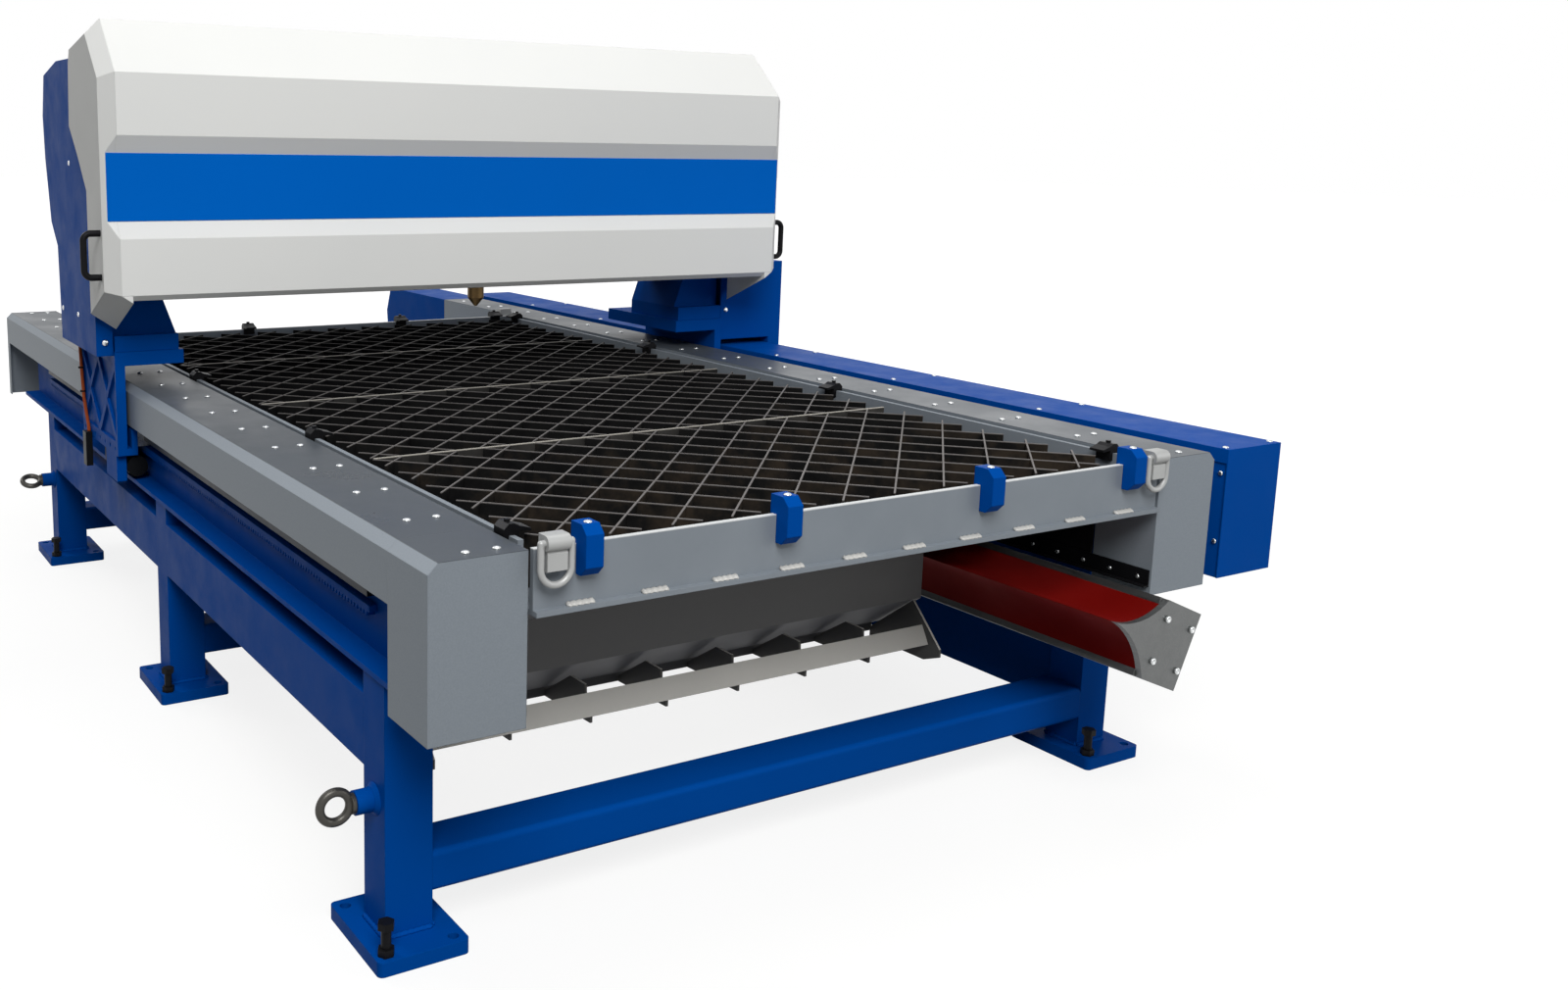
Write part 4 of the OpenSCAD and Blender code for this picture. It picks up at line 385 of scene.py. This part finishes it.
def turned(shape, place, facing, profile, sides=16, hollow=False):
    """Adds a turned form on place: profile is (radius, height) from rim to crown; a hollow one is a ring."""
    turn = Vector((0, 0, 1)).rotation_difference(Vector(facing)).to_matrix()
    rings = []
    for radius, height in profile:
        ring = []
        for k in range(sides):
            angle = 2 * math.pi * k / sides
            spoke = Vector((radius * math.cos(angle), radius * math.sin(angle), height))
            ring.append(shape.verts.new(Vector(place) + turn @ spoke))
        rings.append(ring)
    closing = rings[:1] if hollow else []
    for low, high in zip(rings, rings[1:] + closing):
        for k in range(sides):
            shape.faces.new((low[k], low[(k + 1) % sides], high[(k + 1) % sides], high[k]))
    if not hollow:
        shape.faces.new(rings[-1])
        shape.faces.new(rings[0][::-1])


def drawn_y(shape, outline, front, rear):
    """Adds a bar along Y: outline holds (x, z) points in order."""
    ends = [[shape.verts.new((x, y, z)) for x, z in outline] for y in (front, rear)]
    for k in range(len(outline)):
        shape.faces.new((ends[0][k - 1], ends[0][k], ends[1][k], ends[1][k - 1]))
    shape.faces.new(ends[0])
    shape.faces.new(ends[1])


def dome(radius):
    """Profile of a domed rivet or screw head."""
    rim = 0.12 * radius
    crown = 0.42 * radius
    arch = [(radius * math.cos(a), rim + crown * math.sin(a)) for a in (0.4, 0.75, 1.05, 1.3, 1.48)]
    return [(radius, -SINK), (radius, rim)] + arch


def socket_head(radius):
    """Profile of a socket screw head with its hexagon hole drawn as a round well."""
    shares = ((1, 0.75), (0.88, 0.9), (0.5, 0.9), (0.48, 0.4))
    return [(radius, -SINK)] + [(out * radius, up * radius) for out, up in shares]


def solids(name):
    """Boxes of the separate pieces of a node, as (low, high) corners."""
    shape = bmesh.new()
    shape.from_mesh(nodes[name].data)
    bmesh.ops.remove_doubles(shape, verts=shape.verts, dist=0.01 * MM)
    boxes = []
    left = set(shape.verts)
    while left:
        front = [left.pop()]
        found = []
        while front:
            vert = front.pop()
            found.append(vert.co.copy())
            for edge in vert.link_edges:
                other = edge.other_vert(vert)
                if other in left:
                    left.remove(other)
                    front.append(other)
        boxes.append((Vector(map(min, zip(*found))), Vector(map(max, zip(*found)))))
    shape.free()
    return sorted(boxes, key=lambda box: tuple(box[0]))


def steps(low, high, pitch):
    """Places from low up to high at an even pitch."""
    count = int((high - low) / pitch + 1e-6)
    return [low + i * pitch for i in range(count + 1)]


def guard_rivets():
    # Blind rivets in two rows along each guard, on the right as far as the box behind it
    shape = bmesh.new()
    rows = (885 * MM, 946 * MM)
    pitch = 242 * MM
    first = front_face + 34 * MM
    left_last = guard_rear - 20 * MM
    right_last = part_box("junction_box")[0].y - 12 * MM
    for side, last in ((-1, left_last), (1, right_last)):
        for y in steps(first, last, pitch):
            for x in rows:
                turned(shape, (side * x, y, GUARD_TOP), (0, 0, 1), dome(8 * MM))
    piece("guard_rivets", shape, ZINC, "table")


def lid_screws():
    # Round-head screws along both edges of the channel lid, and two on its inner side at the front end
    shape = bmesh.new()
    margin = 16 * MM
    first = lid_low.y + 20 * MM
    pitch = 565 * MM
    for y in steps(first, lid_high.y, pitch):
        for x in (lid_low.x + margin, lid_high.x - margin):
            turned(shape, (x, y, lid_high.z), (0, 0, 1), dome(7.5 * MM))
    upper = lid_high.z - 60 * MM
    lower = lid_low.z + 90 * MM
    for z in (upper, lower):
        turned(shape, (lid_low.x, lid_low.y + margin, z), (-1, 0, 0), dome(6 * MM))
    piece("lid_screws", shape, ZINC, "table")


def hook_screws():
    # One screw on top of each edge hook
    shape = bmesh.new()
    for low, high in solids("edge_hooks"):
        turned(shape, ((low.x + high.x) / 2, (low.y + high.y) / 2, high.z), (0, 0, 1), dome(8 * MM))
    piece("hook_screws", shape, ZINC, "table")


def skirt_strips():
    # Black angle strips along the foot of the skirts run on to the front inside the end boxes, each held by a
    # close row of screws; the left one has no flange and no screws beside the hopper wall
    strips = bmesh.new()
    screws = bmesh.new()
    low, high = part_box("side_skirts")
    hopper_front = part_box("hopper")[0].y
    sheet = 3 * MM
    gap = 0.3 * MM
    back = high.x - sheet - gap
    face = back - sheet
    foot = low.z - 4 * MM
    crown = foot + 40 * MM
    toe = face - 14 * MM
    front = front_face + 5 * MM
    inside = foot + sheet
    angle = [(back, foot), (back, crown), (face, crown), (face, inside), (toe, inside), (toe, foot)]
    flat = [(-back, foot), (-back, crown), (-face, crown), (-face, foot)]
    for outline in (angle, flat):
        drawn_y(strips, outline, front, high.y)
    screw_level = low.z + 14 * MM
    first = front + 30 * MM
    end_margin = 20 * MM
    pitch = 78 * MM
    for side, last in ((1, high.y), (-1, hopper_front)):
        for y in steps(first, last - end_margin, pitch):
            turned(screws, (side * face, y, screw_level), (-side, 0, 0), dome(6 * MM))
    piece("skirt_strips", strips, BLACK_OXIDE, "table", smooth=False)
    piece("skirt_screws", screws, ZINC, "table")


def slot_blank():
    # Folded blank behind the lid edge closes the front end of the channel's slot, which the gantry arm never
    # reaches
    shape = bmesh.new()
    sheet = 2.5 * MM
    wall = lid_low.x + 3.2 * MM
    inner = wall + sheet
    toe = wall + 14 * MM
    sill = lid_high.z - 64.5 * MM
    head = lid_high.z - 25 * MM
    rear = -1400 * MM
    inside = sill + sheet
    outline = [(wall, sill), (wall, head), (inner, head), (inner, inside), (toe, inside), (toe, sill)]
    drawn_y(shape, outline, front_face + 4 * MM, rear)
    piece("slot_blank", shape, BLUE, "table", smooth=False)


def end_plate_screws():
    # Four socket screws in each end plate of the suction rail, on the axes of the tilted rail
    shape = bmesh.new()
    low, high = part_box("suction_end_plates")
    tilt = math.radians(23.5)
    middle_x = 764 * MM
    middle_z = 434 * MM
    across_places = (-46 * MM, 50 * MM)
    upward_places = (-48 * MM, 52 * MM)
    for y, facing in ((low.y, (0, -1, 0)), (high.y, (0, 1, 0))):
        for across in across_places:
            for upward in upward_places:
                x = middle_x + across * math.cos(tilt) + upward * math.sin(tilt)
                z = middle_z - across * math.sin(tilt) + upward * math.cos(tilt)
                turned(shape, (x, y, z), facing, socket_head(8 * MM))
    piece("end_plate_screws", shape, ZINC, "table")


def weld_bead(shape, start, end, radius, up, out):
    """Adds a rippled weld bead in the corner between two plates, from start to end, thin at both ends."""
    start = Vector(start)
    end = Vector(end)
    ripple = 4 * MM
    count = max(4, int((end - start).length / ripple))
    arc = [math.pi / 2 * k / 5 for k in range(6)]
    rings = []
    for i in range(count + 1):
        centre = start.lerp(end, i / count)
        swell = radius * (0.55 if i in (0, count) else 0.9 + 0.14 * math.sin(2.1 * i))
        skin = [centre + swell * (math.cos(t) * Vector(out) + math.sin(t) * Vector(up)) for t in arc]
        rings.append([shape.verts.new(point) for point in [centre] + skin])
    for low, high in zip(rings, rings[1:]):
        for k in range(len(low)):
            shape.faces.new((low[k - 1], low[k], high[k], high[k - 1]))
    shape.faces.new(rings[0])
    shape.faces.new(rings[-1])


def stitch_welds():
    # Short flattened welds join the front plate to its flange
    shape = bmesh.new()
    flange_top = plate_low.z + 10 * MM
    half_length = 29 * MM
    first = plate_low.x + 96 * MM
    last = plate_high.x - 60 * MM
    pitch = 161 * MM
    for x in steps(first, last, pitch):
        start = (x - half_length, front_face, flange_top)
        end = (x + half_length, front_face, flange_top)
        weld_bead(shape, start, end, radius=13 * MM, up=(0, 0, 0.6), out=(0, -1, 0))
    piece("stitch_welds", shape, WELD, "table")


def boss_welds():
    # Painted fillet welds round the bosses of the eye bolts, on the outer faces of the legs
    shape = bmesh.new()
    boss = 24 * MM
    root = boss - 1 * MM
    crown = 8.6 * MM
    slope = [(boss + out * MM, up * MM) for out, up in ((8.6, 1.2), (4.6, 3.4), (1.8, 6.6))]
    fillet = [(root, -SINK), (boss + 9 * MM, -SINK)] + slope + [(boss + 0.4 * MM, crown), (root, crown)]
    for low, high in solids("eye_bolts"):
        side = 1 if low.x > 0 else -1
        face = low.x if side > 0 else high.x
        centre = (face, (low.y + high.y) / 2, (low.z + high.z) / 2)
        turned(shape, centre, (side, 0, 0), fillet, sides=32, hollow=True)
    piece("boss_welds", shape, BLUE, "table")


def foot_welds():
    # Painted weld beads round the foot of each square leg, on its foot plate
    shape = bmesh.new()
    for low, high in solids("legs"):
        width = high.y - low.y
        left = low.x if low.x > 0 else high.x - width
        right = left + width
        for start, end, out in (((left, low.y), (left, high.y), (-1, 0, 0)),
                                ((right, low.y), (right, high.y), (1, 0, 0)),
                                ((left, low.y), (right, low.y), (0, -1, 0)),
                                ((left, high.y), (right, high.y), (0, 1, 0))):
            weld_bead(shape, (*start, low.z), (*end, low.z), radius=8 * MM, up=(0, 0, 1), out=out)
    piece("foot_welds", shape, BLUE, "table")


def cover_screws():
    # Screws that hold the side covers to the gantry frame: three on the outer face, one larger on the front
    shape = bmesh.new()
    outer_face = 1118.3 * MM
    outer_places = ((505 * MM, 1460 * MM), (667 * MM, 1018 * MM), (456 * MM, 1020 * MM))
    front_x = 1094 * MM
    front_z = 961 * MM
    for side in (-1, 1):
        for y, z in outer_places:
            turned(shape, (side * outer_face, y, z), (side, 0, 0), dome(7.5 * MM))
        turned(shape, (side * front_x, cover_front, front_z), (0, -1, 0), dome(9 * MM))
    piece("cover_screws", shape, ZINC, "gantry")


def section_centre(name, z):
    """Centre of a node where a level plane cuts it."""
    shape = bmesh.new()
    shape.from_mesh(nodes[name].data)
    everything = shape.verts[:] + shape.edges[:] + shape.faces[:]
    cut = bmesh.ops.bisect_plane(shape, geom=everything, plane_co=(0, 0, z), plane_no=(0, 0, 1))["geom_cut"]
    points = [vert.co.copy() for vert in cut if isinstance(vert, bmesh.types.BMVert)]
    shape.free()
    return (Vector(map(min, zip(*points))) + Vector(map(max, zip(*points)))) / 2


def cable_ties():
    # Two black ties with their locking heads hold the switch cable to the carriage plate
    shape = bmesh.new()
    low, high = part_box("limit_cable")
    bore = 4.8 * MM
    rim = 6.2 * MM
    half_band = 2.5 * MM
    half_head = 3.5 * MM
    head_depth = 4 * MM
    band = [(bore, -half_band), (rim, -half_band), (rim, half_band), (bore, half_band)]
    for share in (0.42, 0.68):
        x, y, z = section_centre("limit_cable", low.z + share * (high.z - low.z))
        turned(shape, (x, y, z), (0, 0, 1), band, sides=24, hollow=True)
        near = x - rim
        far = near - head_depth
        head = [(near, z - half_head), (far, z - half_band), (far, z + half_band), (near, z + half_head)]
        drawn_y(shape, head, y - half_head, y + half_head)
    piece("cable_ties", shape, BLACK_COAT, "gantry", smooth=False)


# Studio

SKY_STRENGTH = 0.1
# Place and aim in metres, size in metres, power in watts
LAMPS = (("key", (-2.6, -6.2, 6.2), (0.0, -0.3, 0.9), 4.0, 520),
         ("fill", (5.0, -6.0, 2.8), (0.5, -0.5, 0.7), 4.0, 100),
         ("overhead", (0.5, 0.5, 7.0), (0.0, 0.3, 0.8), 5.0, 175),
         ("window", (-4.4, 7.4, 6.6), (-0.8, -0.5, 0.8), 3.5, 200),
         ("wall", (7.5, 5.5, 2.6), (0.5, -0.5, 0.8), 5.0, 30))
# Share of white that is seen added to the floor, near the table and far from it, so that the ground reads as
# white and runs into the white backdrop; it fades from one to the other between two distances
FLOOR_LIFT_NEAR = 0.83
FLOOR_LIFT_FAR = 1.0
FLOOR_FADE = (3.0, 7.0)
FLOOR_REACH = 60
FLOOR_DROP = 0.5 * MM


def sees_background(tree):
    """1 for rays that go to the camera straight, off a shiny surface or through a clear one, else 0."""
    path = add(tree, "ShaderNodeLightPath").outputs
    shiny = add(tree, "ShaderNodeMath",
                {0: path["Is Glossy Ray"], 1: path["Is Transmission Ray"]}, operation="MAXIMUM")
    seen = add(tree, "ShaderNodeMath",
               {0: path["Is Camera Ray"], 1: shiny.outputs[0]}, operation="MAXIMUM")
    return seen.outputs[0]


def studio_world():
    # White where it is seen, faint cool light elsewhere
    world = bpy.data.worlds.new("studio")
    bpy.context.scene.world = world
    world.use_nodes = True
    tree = world.node_tree
    sky = tree.nodes["Background"]
    sky.inputs["Color"].default_value = linear("#eef1f5")
    sky.inputs["Strength"].default_value = SKY_STRENGTH
    white = add(tree, "ShaderNodeBackground", {"Color": linear("#ffffff"), "Strength": 1.0})
    mix = add(tree, "ShaderNodeMixShader", {0: sees_background(tree), 1: sky.outputs[0], 2: white.outputs[0]})
    tree.links.new(mix.outputs[0], tree.nodes["World Output"].inputs["Surface"])


def studio_lamps():
    for name, place, aim, size, watts in LAMPS:
        data = bpy.data.lights.new(name, "AREA")
        data.size = size
        data.energy = watts
        lamp = bpy.data.objects.new(name, data)
        lamp.location = place
        lamp.rotation_euler = (Vector(aim) - Vector(place)).to_track_quat("-Z", "Y").to_euler()
        bpy.context.scene.collection.objects.link(lamp)


def studio_floor():
    shape = bmesh.new()
    bmesh.ops.create_grid(shape, x_segments=2, y_segments=2, size=FLOOR_REACH)
    data = bpy.data.meshes.new("studio_floor")
    shape.to_mesh(data)
    shape.free()
    floor = bpy.data.objects.new("studio_floor", data)
    floor.location.z = -FLOOR_DROP
    bpy.context.scene.collection.objects.link(floor)
    made, tree, shader, where = finish("Pale studio floor", Roughness=0.9, Emission_Color=linear("#ffffff"))
    away = add(tree, "ShaderNodeVectorMath", {0: where}, operation="LENGTH")
    lift = add(tree, "ShaderNodeMapRange",
               {"Value": away.outputs["Value"], "From Min": FLOOR_FADE[0], "From Max": FLOOR_FADE[1],
                "To Min": FLOOR_LIFT_NEAR, "To Max": FLOOR_LIFT_FAR})
    glow = add(tree, "ShaderNodeMath", {0: sees_background(tree), 1: lift.outputs[0]}, operation="MULTIPLY")
    cloud = add(tree, "ShaderNodeTexNoise", {"Vector": where, "Scale": per_mm(1500), "Detail": 3.0})
    tone = add(tree, "ShaderNodeMixRGB",
               {"Fac": cloud.outputs[0], "Color1": linear("#777775"), "Color2": linear("#71716f")})
    tree.links.new(glow.outputs[0], shader.inputs["Emission Strength"])
    tree.links.new(tone.outputs[0], shader.inputs["Base Color"])
    data.materials.append(made)


bpy.context.scene.view_settings.view_transform = "Standard"
photo_camera()
dress_nodes()
guard_rivets()
lid_screws()
hook_screws()
skirt_strips()
slot_blank()
end_plate_screws()
stitch_welds()
boss_welds()
foot_welds()
cover_screws()
cable_ties()
studio_world()
studio_lamps()
studio_floor()
